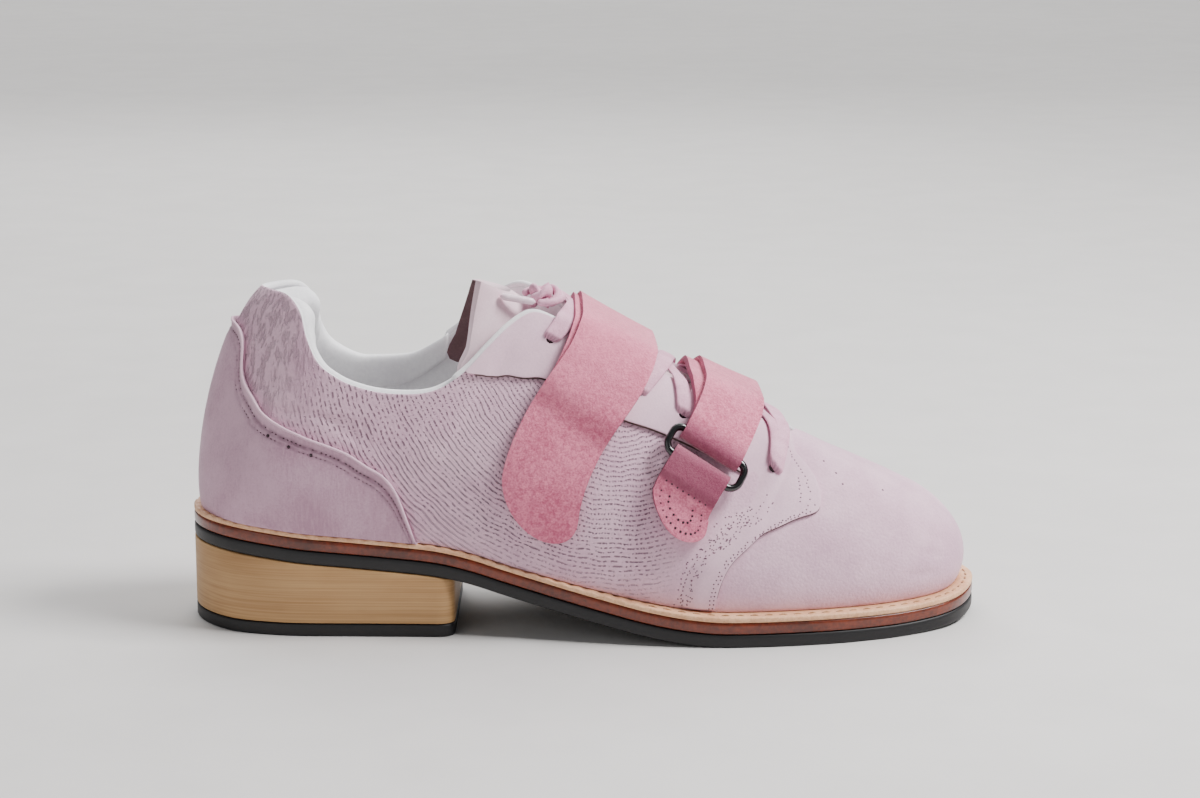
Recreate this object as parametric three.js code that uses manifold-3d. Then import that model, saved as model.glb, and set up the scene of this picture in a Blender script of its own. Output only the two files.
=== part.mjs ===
// Weightlifting shoe for a right foot: a low leather upper with laces and two straps,
// on a welted leather and rubber sole with a stacked wooden heel.
// Millimetres, +Z up, toe towards +X, outer side of the foot towards -Y.
import * as THREE from "three";
import Module from "manifold-3d";

const wasm = await Module();
wasm.setup();

// Driving dimensions
const LENGTH = 284;
const WIDTH = 97;
const HEIGHT = 122;
// Gap between pieces that touch, and what soft pieces add to it
const CLEAR = 0.3;
const LOOSE = 0.1;

// Sole, from the floor up
const HEEL_RISE = 30.2;
const TOP_PIECE = 4.5;
const OUTSOLE = 4.6;
const MIDSOLE = 4;
const WELT = 1.8;
const WELT_SHOWS = 6.4;
const BREAST_AT = 96;
const BREAST_CORNER = 6;

// Upper and what lies on it
const WALL = 2.2;
const LEATHER = 1.2;
const INSOLE = 3;
const TONGUE = 3;
const PAD = 11;

// Straps, their rings and the tabs that hold the rings
const STRAP = 2.1;
const UPPER_STRAP_WIDTH = 30;
const LOWER_STRAP_WIDTH = 22.8;
const TAB = 2;
const TAB_REST = 0.4;
const RING_WIRE = 2.6;
const RING_GAP = 9.5;
const RING_LIFT = 6.2;
const RING_CORNER = 3.4;
const RING_PLAY = 1.9;

// Laces
const LACE_WIDTH = 6.4;
const LACE = 1.2;
const LACE_END = 2.6;
const LACE_HOLE_RISE = 0.45;
const TIP_LENGTH = 13.5;
const TIP_WIDTH = 3.2;

// Outline of the sole, from the back of the heel along the outer side to the toe
// and back along the inner side: share of LENGTH from the heel, share of WIDTH across.
const OUTLINE = [
  { name: "heel back", along: 0, across: 0 },
  { name: "outer heel corner", along: 0.014, across: -0.145 },
  { name: "outer heel", along: 0.055, across: -0.275 },
  { name: "outer seat", along: 0.12, across: -0.338 },
  { name: "outer seat front", along: 0.22, across: -0.352 },
  { name: "outer waist back", along: 0.32, across: -0.36 },
  { name: "outer waist", along: 0.42, across: -0.388 },
  { name: "outer waist front", along: 0.52, across: -0.442 },
  { name: "outer ball back", along: 0.6, across: -0.478 },
  { name: "outer ball", along: 0.68, across: -0.492 },
  { name: "outer ball front", along: 0.76, across: -0.469 },
  { name: "outer toe", along: 0.84, across: -0.417 },
  { name: "outer toe corner", along: 0.91, across: -0.334 },
  { name: "outer tip", along: 0.965, across: -0.222 },
  { name: "outer tip front", along: 0.991, across: -0.09 },
  { name: "tip", along: 1, across: 0.07 },
  { name: "inner tip", along: 0.97, across: 0.295 },
  { name: "inner toe corner", along: 0.91, across: 0.41 },
  { name: "inner toe", along: 0.83, across: 0.475 },
  { name: "inner ball", along: 0.74, across: 0.49 },
  { name: "inner ball back", along: 0.65, across: 0.448 },
  { name: "inner waist front", along: 0.56, across: 0.368 },
  { name: "inner waist", along: 0.46, across: 0.305 },
  { name: "inner waist back", along: 0.36, across: 0.3 },
  { name: "inner seat front", along: 0.24, across: 0.332 },
  { name: "inner seat", along: 0.13, across: 0.335 },
  { name: "inner heel", along: 0.055, across: 0.272 },
  { name: "inner heel corner", along: 0.014, across: 0.145 },
];

// Underside of the outsole: share of LENGTH from the heel, share of HEEL_RISE up.
// The forefoot is flat on the floor between 0.68 and 0.88.
const SOLE_LINE = [
  { at: 0, rise: 1 },
  { at: 0.05, rise: 0.985 },
  { at: 0.1, rise: 0.94 },
  { at: 0.15, rise: 0.885 },
  { at: 0.2, rise: 0.845 },
  { at: 0.27, rise: 0.785 },
  { at: 0.32, rise: 0.73 },
  { at: 0.36, rise: 0.645 },
  { at: 0.4, rise: 0.53 },
  { at: 0.46, rise: 0.375 },
  { at: 0.52, rise: 0.235 },
  { at: 0.58, rise: 0.105 },
  { at: 0.63, rise: 0.03 },
  { at: 0.68, rise: 0 },
  { at: 0.88, rise: 0 },
  { at: 0.94, rise: 0.015 },
  { at: 1, rise: 0.06 },
];

// How far the welt stands out past the upper, around the shoe: place runs from the
// back of the heel at -1 along the outer side to the toe at 0 and on to the heel at 1.
const WELT_EDGE = [
  { at: -1, share: 0.66 },
  { at: -0.94, share: 0.5 },
  { at: -0.87, share: 0.2 },
  { at: -0.6, share: 0.18 },
  { at: -0.52, share: 0.4 },
  { at: -0.44, share: 0.85 },
  { at: -0.36, share: 1 },
  { at: -0.18, share: 1 },
  { at: 0, share: 0.85 },
  { at: 0.18, share: 1 },
  { at: 0.34, share: 0.85 },
  { at: 0.45, share: 0.35 },
  { at: 0.56, share: 0.18 },
  { at: 0.87, share: 0.2 },
  { at: 0.94, share: 0.5 },
  { at: 1, share: 0.66 },
];

// Ribs of the upper. Each rib climbs from the welt to its top point. at: distance from
// the toe (0) to the back of the heel (1) along that side. along, across, up: the top
// point as shares of LENGTH, WIDTH and HEIGHT. lean and reach: how far the rib bows out
// low down and under its top, shares of WIDTH. rise and drop: how high up and how far
// down from the top those two bows sit, shares of the rib's height.
const CREST_RIBS = [
  { at: 0, along: 0.908, across: 0.055, up: 0.398, lean: 0.072, rise: 0.41, reach: 0.165, drop: 0.2 },
  { at: 0.07, along: 0.896, across: 0.052, up: 0.41, lean: 0.07, rise: 0.41, reach: 0.21, drop: 0.17 },
  { at: 0.14, along: 0.875, across: 0.048, up: 0.434, lean: 0.064, rise: 0.42, reach: 0.25, drop: 0.09 },
  { at: 0.21, along: 0.843, across: 0.043, up: 0.47, lean: 0.055, rise: 0.43, reach: 0.265, drop: 0.04 },
  { at: 0.28, along: 0.805, across: 0.037, up: 0.511, lean: 0.05, rise: 0.45, reach: 0.25, drop: 0.01 },
  { at: 0.33, along: 0.77, across: 0.03, up: 0.55, lean: 0.05, rise: 0.47, reach: 0.225, drop: 0 },
];
const OUTER_RIBS = [
  { at: 0.345, along: 0.762, across: -0.026, up: 0.556, lean: 0.05, rise: 0.48, reach: 0.185, drop: 0.02 },
  { at: 0.38, along: 0.728, across: -0.082, up: 0.588, lean: 0.05, rise: 0.49, reach: 0.155, drop: 0.05 },
  { at: 0.43, along: 0.671, across: -0.108, up: 0.65, lean: 0.05, rise: 0.5, reach: 0.162, drop: 0.08 },
  { at: 0.49, along: 0.608, across: -0.119, up: 0.723, lean: 0.045, rise: 0.51, reach: 0.165, drop: 0.11 },
  { at: 0.55, along: 0.548, across: -0.127, up: 0.798, lean: 0.04, rise: 0.52, reach: 0.15, drop: 0.15 },
  { at: 0.6, along: 0.499, across: -0.134, up: 0.86, lean: 0.04, rise: 0.52, reach: 0.14, drop: 0.18 },
  { at: 0.635, along: 0.463, across: -0.142, up: 0.906, lean: 0.04, rise: 0.52, reach: 0.12, drop: 0.22 },
  { at: 0.66, along: 0.435, across: -0.165, up: 0.93, lean: 0.04, rise: 0.52, reach: 0.1, drop: 0.25 },
  { at: 0.68, along: 0.41, across: -0.2, up: 0.903, lean: 0.04, rise: 0.5, reach: 0.085, drop: 0.27 },
  { at: 0.7, along: 0.384, across: -0.245, up: 0.85, lean: 0.045, rise: 0.5, reach: 0.07, drop: 0.28 },
  { at: 0.725, along: 0.354, across: -0.286, up: 0.781, lean: 0.045, rise: 0.48, reach: 0.05, drop: 0.3 },
  { at: 0.75, along: 0.326, across: -0.308, up: 0.737, lean: 0.045, rise: 0.46, reach: 0.035, drop: 0.3 },
  { at: 0.79, along: 0.282, across: -0.317, up: 0.717, lean: 0.045, rise: 0.44, reach: 0.03, drop: 0.32 },
  { at: 0.84, along: 0.229, across: -0.312, up: 0.731, lean: 0.045, rise: 0.42, reach: 0.035, drop: 0.34 },
  { at: 0.875, along: 0.194, across: -0.3, up: 0.763, lean: 0.045, rise: 0.4, reach: 0.045, drop: 0.36 },
  { at: 0.905, along: 0.169, across: -0.278, up: 0.812, lean: 0.045, rise: 0.36, reach: 0.06, drop: 0.36 },
  { at: 0.925, along: 0.157, across: -0.252, up: 0.873, lean: 0.045, rise: 0.32, reach: 0.08, drop: 0.34 },
  { at: 0.945, along: 0.148, across: -0.211, up: 0.943, lean: 0.042, rise: 0.28, reach: 0.1, drop: 0.28 },
  { at: 0.965, along: 0.13, across: -0.149, up: 0.984, lean: 0.042, rise: 0.27, reach: 0.12, drop: 0.2 },
  { at: 0.985, along: 0.106, across: -0.072, up: 0.99, lean: 0.042, rise: 0.26, reach: 0.14, drop: 0.15 },
];
const INNER_RIBS = [
  { at: 0.345, along: 0.762, across: 0.07, up: 0.556, lean: 0.05, rise: 0.48, reach: 0.19, drop: 0.02 },
  { at: 0.38, along: 0.726, across: 0.124, up: 0.592, lean: 0.05, rise: 0.49, reach: 0.16, drop: 0.05 },
  { at: 0.43, along: 0.668, across: 0.143, up: 0.654, lean: 0.048, rise: 0.5, reach: 0.16, drop: 0.08 },
  { at: 0.49, along: 0.605, across: 0.147, up: 0.73, lean: 0.04, rise: 0.51, reach: 0.165, drop: 0.11 },
  { at: 0.55, along: 0.544, across: 0.147, up: 0.811, lean: 0.035, rise: 0.52, reach: 0.15, drop: 0.15 },
  { at: 0.6, along: 0.492, across: 0.148, up: 0.884, lean: 0.035, rise: 0.52, reach: 0.14, drop: 0.18 },
  { at: 0.635, along: 0.452, across: 0.15, up: 0.942, lean: 0.035, rise: 0.52, reach: 0.12, drop: 0.22 },
  { at: 0.66, along: 0.42, across: 0.168, up: 0.97, lean: 0.035, rise: 0.52, reach: 0.1, drop: 0.25 },
  { at: 0.68, along: 0.393, across: 0.202, up: 0.943, lean: 0.035, rise: 0.5, reach: 0.085, drop: 0.27 },
  { at: 0.7, along: 0.366, across: 0.238, up: 0.889, lean: 0.04, rise: 0.5, reach: 0.07, drop: 0.28 },
  { at: 0.725, along: 0.336, across: 0.27, up: 0.825, lean: 0.042, rise: 0.48, reach: 0.05, drop: 0.3 },
  { at: 0.75, along: 0.308, across: 0.287, up: 0.778, lean: 0.045, rise: 0.46, reach: 0.035, drop: 0.3 },
  { at: 0.79, along: 0.268, across: 0.298, up: 0.738, lean: 0.045, rise: 0.44, reach: 0.03, drop: 0.32 },
  { at: 0.84, along: 0.218, across: 0.297, up: 0.734, lean: 0.045, rise: 0.42, reach: 0.035, drop: 0.34 },
  { at: 0.875, along: 0.187, across: 0.287, up: 0.76, lean: 0.045, rise: 0.4, reach: 0.045, drop: 0.36 },
  { at: 0.905, along: 0.165, across: 0.268, up: 0.808, lean: 0.045, rise: 0.36, reach: 0.06, drop: 0.36 },
  { at: 0.925, along: 0.155, across: 0.245, up: 0.87, lean: 0.045, rise: 0.32, reach: 0.08, drop: 0.34 },
  { at: 0.945, along: 0.148, across: 0.208, up: 0.943, lean: 0.042, rise: 0.28, reach: 0.1, drop: 0.28 },
  { at: 0.965, along: 0.13, across: 0.149, up: 0.984, lean: 0.042, rise: 0.27, reach: 0.12, drop: 0.2 },
  { at: 0.985, along: 0.106, across: 0.072, up: 0.99, lean: 0.042, rise: 0.26, reach: 0.14, drop: 0.15 },
];
const HEEL_RIB = { along: 0.094, across: 0, up: 0.991, lean: 0.041, rise: 0.26, reach: 0.144, drop: 0.14 };

// Smooth value of one column at a place in a table, without overshoot between rows
function read(rows, column, at) {
  const last = rows.length - 1;
  if (at <= rows[0].at) return rows[0][column];
  if (at >= rows[last].at) return rows[last][column];
  let i = 0;
  while (rows[i + 1].at < at) i += 1;
  const slope = (k) => (rows[k + 1][column] - rows[k][column]) / (rows[k + 1].at - rows[k].at);
  const tangent = (k) => {
    if (k === 0) return slope(0);
    if (k === last) return slope(last - 1);
    const before = slope(k - 1);
    const after = slope(k);
    if (before * after <= 0) return 0;
    const near = rows[k].at - rows[k - 1].at;
    const far = rows[k + 1].at - rows[k].at;
    const mean = (before * far + after * near) / (near + far);
    const limit = 3 * Math.min(Math.abs(before), Math.abs(after));
    return Math.sign(mean) * Math.min(Math.abs(mean), limit);
  };
  const step = rows[i + 1].at - rows[i].at;
  const t = (at - rows[i].at) / step;
  const a = rows[i][column];
  const b = rows[i + 1][column];
  const start = tangent(i) * step;
  const end = tangent(i + 1) * step;
  return a + t * (start + t * (3 * (b - a) - 2 * start - end + t * (start + end - 2 * (b - a))));
}

const mix = (a, b, t) => a + (b - a) * t;
const clamp = (t, low, high) => Math.min(Math.max(t, low), high);

// Sole outline
const outlineCurve = new THREE.CatmullRomCurve3(
  OUTLINE.map((row) => new THREE.Vector3((row.along - 0.5) * LENGTH, row.across * WIDTH, 0)),
  true,
  "centripetal",
);
outlineCurve.arcLengthDivisions = 1200;

function findTip() {
  let best = 0.5;
  for (let share = 0.4; share < 0.6; share += 0.0005) {
    if (outlineCurve.getPointAt(share).x > outlineCurve.getPointAt(best).x) best = share;
  }
  return best;
}
const TIP_SHARE = findTip();

// Point of the outline at a place around the shoe, moved inwards by an inset
function outlineAt(place, inset) {
  const share = place < 0 ? TIP_SHARE * (1 + place) : mix(TIP_SHARE, 1, place);
  const at = ((share % 1) + 1) % 1;
  const point = outlineCurve.getPointAt(at);
  const way = outlineCurve.getTangentAt(at);
  return new THREE.Vector3(point.x - way.y * inset, point.y + way.x * inset, 0);
}

const soleBottom = (x) => HEEL_RISE * read(SOLE_LINE, "rise", x / LENGTH + 0.5);
const outsoleTop = (x) => soleBottom(x) + OUTSOLE;
const midsoleBottom = (x) => outsoleTop(x) + CLEAR;
const midsoleTop = (x) => midsoleBottom(x) + MIDSOLE;
const weltBottom = (x) => midsoleTop(x) + CLEAR;
const weltTop = (x) => weltBottom(x) + WELT;
const upperBottom = (x) => weltTop(x) + CLEAR;
const upperInset = (place) => WELT_SHOWS * read(WELT_EDGE, "share", place);

// Ribs all around the shoe, from the heel at -1 by the outer side to the heel at 1
const ring = [
  ...INNER_RIBS.slice(-3).map((row) => ({ ...row, at: row.at - 2 })),
  { ...HEEL_RIB, at: -1 },
  ...OUTER_RIBS.slice().reverse().map((row) => ({ ...row, at: -row.at })),
  ...CREST_RIBS.slice(1).reverse().map((row) => ({ ...row, at: -row.at })),
  ...CREST_RIBS,
  ...INNER_RIBS,
  { ...HEEL_RIB, at: 1 },
  ...OUTER_RIBS.slice(-3).reverse().map((row) => ({ ...row, at: 2 - row.at })),
];
const THROAT = 0.335;

const wrap = (place) => (place > 1 ? place - 2 : place < -1 ? place + 2 : place);

const ribCache = new Map();
function rib(place) {
  const key = Math.round(place * 1e7);
  if (ribCache.has(key)) return ribCache.get(key);
  const here = wrap(place);
  const foot = outlineAt(here, upperInset(here));
  foot.z = upperBottom(foot.x);
  const top = new THREE.Vector3(
    (read(ring, "along", here) - 0.5) * LENGTH,
    read(ring, "across", here) * WIDTH,
    read(ring, "up", here) * HEIGHT,
  );
  const edge = outlineAt(here, 0);
  const out = edge.sub(outlineAt(here, 1));
  const height = top.z - foot.z;
  const low = foot.clone().addScaledVector(out, read(ring, "lean", here) * WIDTH);
  low.z = foot.z + read(ring, "rise", here) * height;
  const high = top.clone().addScaledVector(out, read(ring, "reach", here) * WIDTH);
  high.z = top.z - read(ring, "drop", here) * height;
  const value = [foot, low, high, top];
  ribCache.set(key, value);
  return value;
}

function bezier(points, t) {
  const s = 1 - t;
  return new THREE.Vector3()
    .addScaledVector(points[0], s * s * s)
    .addScaledVector(points[1], 3 * s * s * t)
    .addScaledVector(points[2], 3 * s * t * t)
    .addScaledVector(points[3], t * t * t);
}

// Outer face of the upper at a place around the shoe and a share of the way up the rib
const skin = (place, up) => bezier(rib(place), up);

const SMALL = 1e-3;
function rawNormal(place, up) {
  const low = Math.min(up, 1 - SMALL);
  const along = skin(place + SMALL, up).sub(skin(place - SMALL, up));
  const rise = skin(place, low + SMALL).sub(skin(place, low - SMALL));
  return along.cross(rise).normalize();
}

// Outward normal of the upper; on the crest both sides share one
function skinNormal(place, up) {
  const normal = rawNormal(place, up);
  if (up > 0.999 && Math.abs(place) < THROAT) normal.add(rawNormal(-place, up)).normalize();
  return normal;
}

const offSkin = (place, up, lift) => skin(place, up).addScaledVector(skinNormal(place, up), lift);

// The instep as one sheet from the outer side (-1) over the throat (0) to the inner side
// (1): over the gap of the throat a smooth bridge joins the two edges. BRIDGE is its half
// width in sides, DOME how far it swells, a share of the gap.
const BRIDGE = 0.16;
const DOME = 0.1;
const bridgeAt = (from) => BRIDGE * THREE.MathUtils.smoothstep(from, THROAT - 0.005, THROAT + 0.05);

function instep(from, side) {
  const half = bridgeAt(from);
  const size = Math.abs(side);
  if (size >= half) {
    return skin(Math.sign(side) * from, (1 - size) / (1 - half));
  }
  const outer = rib(-from);
  const inner = rib(from);
  const span = outer[3].distanceTo(inner[3]) * DOME;
  const left = outer[3].clone().addScaledVector(outer[3].clone().sub(outer[2]).normalize(), span);
  const right = inner[3].clone().addScaledVector(inner[3].clone().sub(inner[2]).normalize(), span);
  return bezier([outer[3], left, right, inner[3]], (side / half + 1) / 2);
}

function instepNormal(from, side) {
  const across = instep(from, side + SMALL).sub(instep(from, side - SMALL));
  const back = instep(from + SMALL, side).sub(instep(from - SMALL, side));
  return across.cross(back).normalize();
}

// Mesh helpers: points and triangles become one closed body that faces outwards
function body(points, faces) {
  const position = new Float32Array(points.length * 3);
  points.forEach((point, i) => point.toArray(position, i * 3));
  let volume = 0;
  const side = new THREE.Vector3();
  for (const [a, b, c] of faces) {
    volume += points[a].dot(side.crossVectors(points[b], points[c]));
  }
  const geometry = new THREE.BufferGeometry();
  geometry.setAttribute("position", new THREE.BufferAttribute(position, 3));
  geometry.setIndex(faces.flatMap(([a, b, c]) => (volume > 0 ? [a, b, c] : [a, c, b])));
  return geometry;
}

// A sheet with a thickness: place(u, v, side) gives its point for u and v from their
// lists and side 0 (under) or 1 (over); it may close on itself around u.
function sheet(listU, listV, place, closed = false) {
  const rows = listU.length;
  const columns = listV.length;
  const points = [];
  for (const side of [0, 1]) {
    for (const u of listU) {
      for (const v of listV) points.push(place(u, v, side));
    }
  }
  const at = (side, i, j) => side * rows * columns + (i % rows) * columns + j;
  const faces = [];
  const quad = (a, b, c, d) => faces.push([a, b, c], [a, c, d]);
  const steps = closed ? rows : rows - 1;
  for (let i = 0; i < steps; i += 1) {
    for (let j = 0; j < columns - 1; j += 1) {
      quad(at(1, i, j), at(1, i + 1, j), at(1, i + 1, j + 1), at(1, i, j + 1));
      quad(at(0, i, j), at(0, i, j + 1), at(0, i + 1, j + 1), at(0, i + 1, j));
    }
    quad(at(0, i, 0), at(0, i + 1, 0), at(1, i + 1, 0), at(1, i, 0));
    const end = columns - 1;
    quad(at(0, i, end), at(1, i, end), at(1, i + 1, end), at(0, i + 1, end));
  }
  if (!closed) {
    for (let j = 0; j < columns - 1; j += 1) {
      quad(at(0, 0, j), at(1, 0, j), at(1, 0, j + 1), at(0, 0, j + 1));
      const end = rows - 1;
      quad(at(0, end, j), at(0, end, j + 1), at(1, end, j + 1), at(1, end, j));
    }
  }
  return body(points, faces);
}

// A tube of closed sections in a row; it closes on itself or ends in flat caps
function loft(sections, closed = false) {
  const count = sections.length;
  const sides = sections[0].length;
  const points = sections.flat();
  const faces = [];
  for (let i = 0; i < (closed ? count : count - 1); i += 1) {
    for (let j = 0; j < sides; j += 1) {
      const a = i * sides + j;
      const b = i * sides + ((j + 1) % sides);
      const c = ((i + 1) % count) * sides + ((j + 1) % sides);
      const d = ((i + 1) % count) * sides + j;
      faces.push([a, b, c], [a, c, d]);
    }
  }
  if (!closed) {
    const end = (count - 1) * sides;
    for (let j = 1; j < sides - 1; j += 1) {
      faces.push([0, j + 1, j], [end, end + j, end + j + 1]);
    }
  }
  return body(points, faces);
}

function toManifold(geometry) {
  const mesh = new wasm.Mesh({
    numProp: 3,
    vertProperties: new Float32Array(geometry.getAttribute("position").array),
    triVerts: new Uint32Array(geometry.getIndex().array),
  });
  return new wasm.Manifold(mesh);
}

function fromManifold(manifold) {
  const mesh = manifold.getMesh();
  const geometry = new THREE.BufferGeometry();
  geometry.setAttribute("position", new THREE.BufferAttribute(Float32Array.from(mesh.vertProperties), 3));
  geometry.setIndex(Array.from(mesh.triVerts));
  return geometry;
}

// Layers of the sole. Places around the shoe are closer together at the toe and heel.
const SOLE_PLACES = [
  0.02, 0.045, 0.075, 0.11, 0.15, 0.19, 0.235, 0.28, 0.33, 0.38, 0.42, 0.46, 0.5, 0.54, 0.58, 0.62,
  0.66, 0.7, 0.75, 0.8, 0.85, 0.89, 0.92, 0.945, 0.965, 0.985,
];

// A layer with the outline moved in by an inset, between two heights that vary along X
function layer(inset, bottom, top) {
  const points = [];
  const faces = [];
  const add = (place) => {
    const edge = outlineAt(place, inset(place));
    points.push(new THREE.Vector3(edge.x, edge.y, bottom(edge.x)));
    points.push(new THREE.Vector3(edge.x, edge.y, top(edge.x)));
    return points.length - 2;
  };
  const strip = (a, b, c, d) => {
    faces.push([a + 1, b + 1, c + 1], [a + 1, c + 1, d + 1], [a, c, b], [a, d, c]);
  };
  const side = (a, b) => faces.push([a, b, b + 1], [a, b + 1, a + 1]);
  const tip = add(0);
  let left = tip;
  let right = tip;
  for (const place of SOLE_PLACES) {
    const nextLeft = add(-place);
    const nextRight = add(place);
    if (left === tip) faces.push([tip + 1, nextRight + 1, nextLeft + 1], [tip, nextLeft, nextRight]);
    else strip(left, right, nextRight, nextLeft);
    side(nextLeft, left);
    side(right, nextRight);
    left = nextLeft;
    right = nextRight;
  }
  const heel = add(1);
  faces.push([left + 1, right + 1, heel + 1], [left, heel, right]);
  side(heel, left);
  side(right, heel);
  return body(points, faces);
}

const insoleInset = (place) => upperInset(place) + WALL + 1;

function makeWelt() {
  const places = [-1, ...SOLE_PLACES.slice().reverse().map((place) => -place), 0, ...SOLE_PLACES];
  return sheet(places, [0, 1], (place, share, side) => {
    const point = outlineAt(place, share * (insoleInset(place) - CLEAR));
    point.z = side ? weltTop(point.x) : weltBottom(point.x);
    return point;
  }, true);
}

// Heel: the sole's outline behind a straight breast with round corners
function heelCut(bottom, top) {
  const back = -LENGTH;
  const front = BREAST_AT - LENGTH / 2;
  const half = WIDTH * 0.36;
  const shape = new THREE.Shape();
  shape.moveTo(back, -half);
  shape.lineTo(front - BREAST_CORNER, -half);
  shape.quadraticCurveTo(front, -half, front, -half + BREAST_CORNER);
  shape.lineTo(front, half - BREAST_CORNER);
  shape.quadraticCurveTo(front, half, front - BREAST_CORNER, half);
  shape.lineTo(back, half);
  const cutter = new THREE.ExtrudeGeometry(shape, { depth: HEIGHT, bevelEnabled: false, curveSegments: 4 });
  return fromManifold(toManifold(layer(() => 0, bottom, top)).intersect(toManifold(welded(cutter))));
}

function welded(source) {
  const keys = new Map();
  const points = [];
  const position = source.getAttribute("position");
  const index = source.getIndex();
  const order = [];
  const count = index ? index.count : position.count;
  for (let i = 0; i < count; i += 1) {
    const point = new THREE.Vector3().fromBufferAttribute(position, index ? index.getX(i) : i);
    const key = point.toArray().map((value) => value.toFixed(4)).join();
    if (!keys.has(key)) {
      keys.set(key, points.length);
      points.push(point);
    }
    order.push(keys.get(key));
  }
  const faces = [];
  for (let i = 0; i < order.length; i += 3) faces.push(order.slice(i, i + 3));
  return body(points, faces.filter(([a, b, c]) => a !== b && b !== c && c !== a));
}

// Upper: one hollow solid with a wall, open at the collar, the throat and underneath
const CREST_PLACES = [0, 0.04, 0.08, 0.12, 0.16, 0.2, 0.245, 0.29, 0.33];
const OPEN_PLACES = [
  0.345, 0.36, 0.385, 0.42, 0.465, 0.51, 0.555, 0.6, 0.63, 0.65, 0.667, 0.685, 0.704, 0.73,
  0.765, 0.805, 0.845, 0.88, 0.91, 0.93, 0.948, 0.965, 0.983, 1,
];
const UP_STEPS = [0, 0.13, 0.27, 0.42, 0.57, 0.72, 0.86, 1];

// A layer over the whole upper between two heights off its outer face
function makeShell(under, over) {
  const outerSide = [...OPEN_PLACES.slice().reverse(), ...CREST_PLACES.slice().reverse()].map((p) => -p);
  const places = [...outerSide, ...CREST_PLACES.slice(1), ...OPEN_PLACES.slice(0, -1)];
  const rows = places.length;
  const columns = UP_STEPS.length;
  const points = [];
  for (const lift of [under, over]) {
    for (const place of places) {
      for (const up of UP_STEPS) {
        const point = offSkin(place, up, lift);
        if (up === 0) point.z = upperBottom(skin(place, 0).x);
        points.push(point);
      }
    }
  }
  const mirror = new Map(places.map((place, i) => [place, i]));
  const at = (side, i, j) => {
    const row = i % rows;
    const crest = j === columns - 1 && places[row] > 0 && places[row] < THROAT;
    return side * rows * columns + (crest ? mirror.get(-places[row]) : row) * columns + j;
  };
  const faces = [];
  const quad = (a, b, c, d) => faces.push([a, b, c], [a, c, d]);
  const rim = columns - 1;
  for (let i = 0; i < rows; i += 1) {
    for (let j = 0; j < rim; j += 1) {
      quad(at(1, i, j), at(1, i + 1, j), at(1, i + 1, j + 1), at(1, i, j + 1));
      quad(at(0, i, j), at(0, i, j + 1), at(0, i + 1, j + 1), at(0, i + 1, j));
    }
    quad(at(0, i, 0), at(0, i + 1, 0), at(1, i + 1, 0), at(1, i, 0));
    const next = places[(i + 1) % rows];
    const closedHere = Math.abs(places[i]) < THROAT && Math.abs(next) < THROAT;
    if (!closedHere) {
      quad(at(0, i, rim), at(1, i, rim), at(1, i + 1, rim), at(0, i + 1, rim));
    }
  }
  const used = faces.filter(([a, b, c]) => a !== b && b !== c && c !== a);
  return welded(body(points, used));
}

// Overlays: cut out of one layer over the upper. Each row crosses the overlay from one
// edge to the other: from and up are a place around the shoe and a share up the rib.
// Facing: along the throat from the collar to the front, then down the strip to the welt.
const FACING = [
  { fromA: 0.728, upA: 1.01, fromB: 0.724, upB: 0.985 },
  { fromA: 0.712, upA: 1.01, fromB: 0.704, upB: 0.85 },
  { fromA: 0.694, upA: 1.01, fromB: 0.688, upB: 0.755 },
  { fromA: 0.678, upA: 1.01, fromB: 0.671, upB: 0.7 },
  { fromA: 0.664, upA: 1.01, fromB: 0.648, upB: 0.68 },
  { fromA: 0.645, upA: 1.01, fromB: 0.622, upB: 0.69 },
  { fromA: 0.6, upA: 1.01, fromB: 0.575, upB: 0.67 },
  { fromA: 0.545, upA: 1.01, fromB: 0.523, upB: 0.65 },
  { fromA: 0.49, upA: 1.01, fromB: 0.49, upB: 0.66 },
  { fromA: 0.44, upA: 1.01, fromB: 0.45, upB: 0.655 },
  { fromA: 0.395, upA: 1.01, fromB: 0.41, upB: 0.63 },
  { fromA: 0.365, upA: 1.01, fromB: 0.38, upB: 0.6 },
  { fromA: 0.352, upA: 0.97, fromB: 0.366, upB: 0.575 },
  { fromA: 0.341, upA: 0.79, fromB: 0.362, upB: 0.52 },
  { fromA: 0.308, upA: 0.7, fromB: 0.364, upB: 0.47 },
  { fromA: 0.289, upA: 0.63, fromB: 0.372, upB: 0.43 },
  { fromA: 0.2765, upA: 0.535, fromB: 0.383, upB: 0.395 },
  { fromA: 0.2765, upA: 0.49, fromB: 0.388, upB: 0.355 },
  { fromA: 0.298, upA: 0.443, fromB: 0.39, upB: 0.32 },
  { fromA: 0.317, upA: 0.383, fromB: 0.394, upB: 0.26 },
  { fromA: 0.3374, upA: 0.332, fromB: 0.4, upB: 0.21 },
  { fromA: 0.3467, upA: 0.276, fromB: 0.408, upB: 0.17 },
  { fromA: 0.358, upA: 0.22, fromB: 0.4105, upB: 0.12 },
  { fromA: 0.3655, upA: 0.12, fromB: 0.4122, upB: 0.07 },
  { fromA: 0.369, upA: -0.03, fromB: 0.414, upB: -0.03 },
];
// Counter: share up the rib of its top edge, from its front end round the heel
const COUNTER = [
  { at: 0.692, up: 0 },
  { at: 0.7, up: 0.06 },
  { at: 0.7231, up: 0.223 },
  { at: 0.7493, up: 0.354 },
  { at: 0.7863, up: 0.469 },
  { at: 0.8184, up: 0.553 },
  { at: 0.8531, up: 0.596 },
  { at: 0.9, up: 0.615 },
  { at: 0.931, up: 0.597 },
  { at: 0.947, up: 0.594 },
  { at: 0.962, up: 0.621 },
  { at: 0.977, up: 0.733 },
  { at: 1, up: 0.775 },
];
// The cutters reach this far under and over the layer that they cut
const CUT_UNDER = -1.6;
const CUT_OVER = 4;
const BELOW_FOOT = -0.03;

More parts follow.
